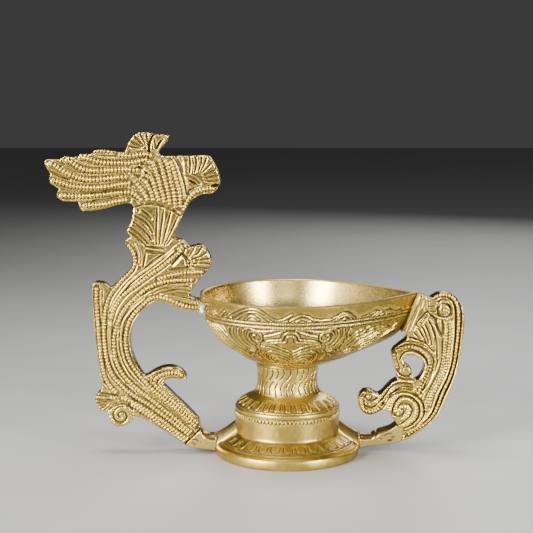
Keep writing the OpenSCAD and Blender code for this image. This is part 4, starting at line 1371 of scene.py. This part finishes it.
def lump(name, centre, radii, power, rough, material, lean=0.0):
    """A cast or soldered lump with an uneven skin.

    power 2 is an ellipsoid and more is squarer; lean shifts x as z rises.
    """
    v = np.linspace(-np.pi / 2, np.pi / 2, LUMP_RINGS + 2)[1:-1]
    u = np.linspace(0, 2 * np.pi, LUMP_AROUND, endpoint=False)

    def bend(a):
        return np.sign(a) * np.abs(a) ** (2 / power)

    vv, uu = np.meshgrid(v, u, indexing="ij")
    p = np.stack([bend(np.cos(vv)) * bend(np.cos(uu)), bend(np.cos(vv)) * bend(np.sin(uu)),
                  bend(np.sin(vv))], axis=-1)
    swell = np.roll(value_noise((LUMP_RINGS, LUMP_AROUND + 8), 5)[:, :LUMP_AROUND], 3, axis=1)
    from_seam = np.minimum(np.arange(LUMP_AROUND), np.arange(LUMP_AROUND)[::-1])
    swell = swell * np.clip(from_seam / 8, 0, 1)
    p = p * (1 + rough * swell[..., None])
    p = p * np.array(radii) + np.array(centre)
    p[..., 0] += lean * (p[..., 2] - centre[2])
    verts, polys = surface_mesh(p, (0, 1))
    hollows = np.clip(-swell.ravel() * 0.8, 0, 0.5)
    attrs = {"cavity": np.r_[hollows, 0, 0], "side": np.zeros(len(verts))}
    return make_object(name, verts, polys, attrs, material)


# Name, node, centre, half sizes, power, roughness and lean.
BRAZES = (
    ("left_foot_braze_bead", "left_foot_braze", (-34.6, 0, 5.2), (0.6, 4.85, 3.9), 4, 0.04, 0.0),
    ("right_foot_braze_bead", "right_foot_braze", (34.6, 0, 5.9), (0.6, 4.85, 3.5), 4, 0.04, 0.0),
    ("bowl_tip_fillet", "bowl_tip_braze", (58.9, 0, 68.7), (1.5, 5.1, 9.0), 3.4, 0.12, JOINT_LEAN),
)
for name, node, centre, radii, power, rough, lean in BRAZES:
    bead = lump(name, centre, radii, power, rough, braze_brass, lean)
    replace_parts(bead, node)
lump("left_arm_solder_bead", (-40.3, -7.4, 71.4), (2.2, 3.6, 3.5), 2.2, 0.14, solder)
core = lump("left_arm_solder_core", (-42.1, 0, 72.7), (0.75, 4.4, 2.9), 3, 0.08, solder)
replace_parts(core, "left_arm_solder")
for node in ("centre_stud", "stud_washer", "stud_nut"):
    bpy.data.objects[node].data.materials.clear()
    bpy.data.objects[node].data.materials.append(steel)


# ---------------------------------------------------------------- studio, in metres

FLOOR_CORNERS = [(-3, -2, 0), (3, -2, 0), (3, 3, 0), (-3, 3, 0)]
AIM = (0, 0, 0.08)
# Name, place, size, power in watts and spread in degrees.
SOFTBOXES = (
    ("key", (-0.62, -0.60, 0.32), (0.40, 0.62), 5.8, 80),
    ("fill", (0.60, -0.58, 0.28), (0.10, 0.52), 2.3, 80),
    ("top", (-0.05, 0.0, 0.9), (0.4, 0.4), 2, 80),
    ("front", (0.15, -1.3, 0.6), (0.6, 0.4), 0.2, 50),
    ("back", (0.35, 0.9, 0.5), (0.5, 0.4), 4, 180),
)
CAMERA_PLACE = ((AXIS_X - 10.1) * MM, -0.6305, 0.1784)
CAMERA_DOWN = 7.9  # degrees below level
LENS_MM = 89.96623
SENSOR_MM = 36


def add_floor():
    mesh = bpy.data.meshes.new("floor")
    mesh.from_pydata(FLOOR_CORNERS, [], [(0, 1, 2, 3)])
    floor = bpy.data.objects.new("floor", mesh)
    bpy.context.scene.collection.objects.link(floor)
    s = Shader("floor_paint")
    s.surface({"Base Color": s.mix(s.noise(s.coords, 8.0), (0.35, 0.346, 0.338), (0.38, 0.376, 0.368)),
               "Roughness": s.span(s.noise(s.coords, 30.0), 0.3, 0.7, 0.5, 0.6)})
    mesh.materials.append(s.mat)


def add_world():
    world = bpy.data.worlds.new("studio")
    world.use_nodes = True
    background = world.node_tree.nodes["Background"]
    background.inputs["Color"].default_value = (0.5, 0.5, 0.52, 1)
    background.inputs["Strength"].default_value = 0.1
    bpy.context.scene.world = world


def add_softbox(name, place, size, power, spread):
    light = bpy.data.lights.new(name, "AREA")
    light.shape = "RECTANGLE"
    light.size, light.size_y = size
    light.energy = power
    light.spread = math.radians(spread)
    obj = bpy.data.objects.new(name, light)
    obj.location = place
    obj.rotation_euler = (Vector(AIM) - Vector(place)).to_track_quat("-Z", "Y").to_euler()
    bpy.context.scene.collection.objects.link(obj)


def add_camera():
    cam = bpy.data.cameras.new("camera")
    cam.sensor_width = SENSOR_MM
    cam.lens = LENS_MM
    obj = bpy.data.objects.new("camera", cam)
    obj.location = CAMERA_PLACE
    obj.rotation_euler = (math.radians(90 - CAMERA_DOWN), 0, 0)
    bpy.context.scene.collection.objects.link(obj)
    bpy.context.scene.camera = obj


add_floor()
add_world()
for softbox in SOFTBOXES:
    add_softbox(*softbox)
add_camera()
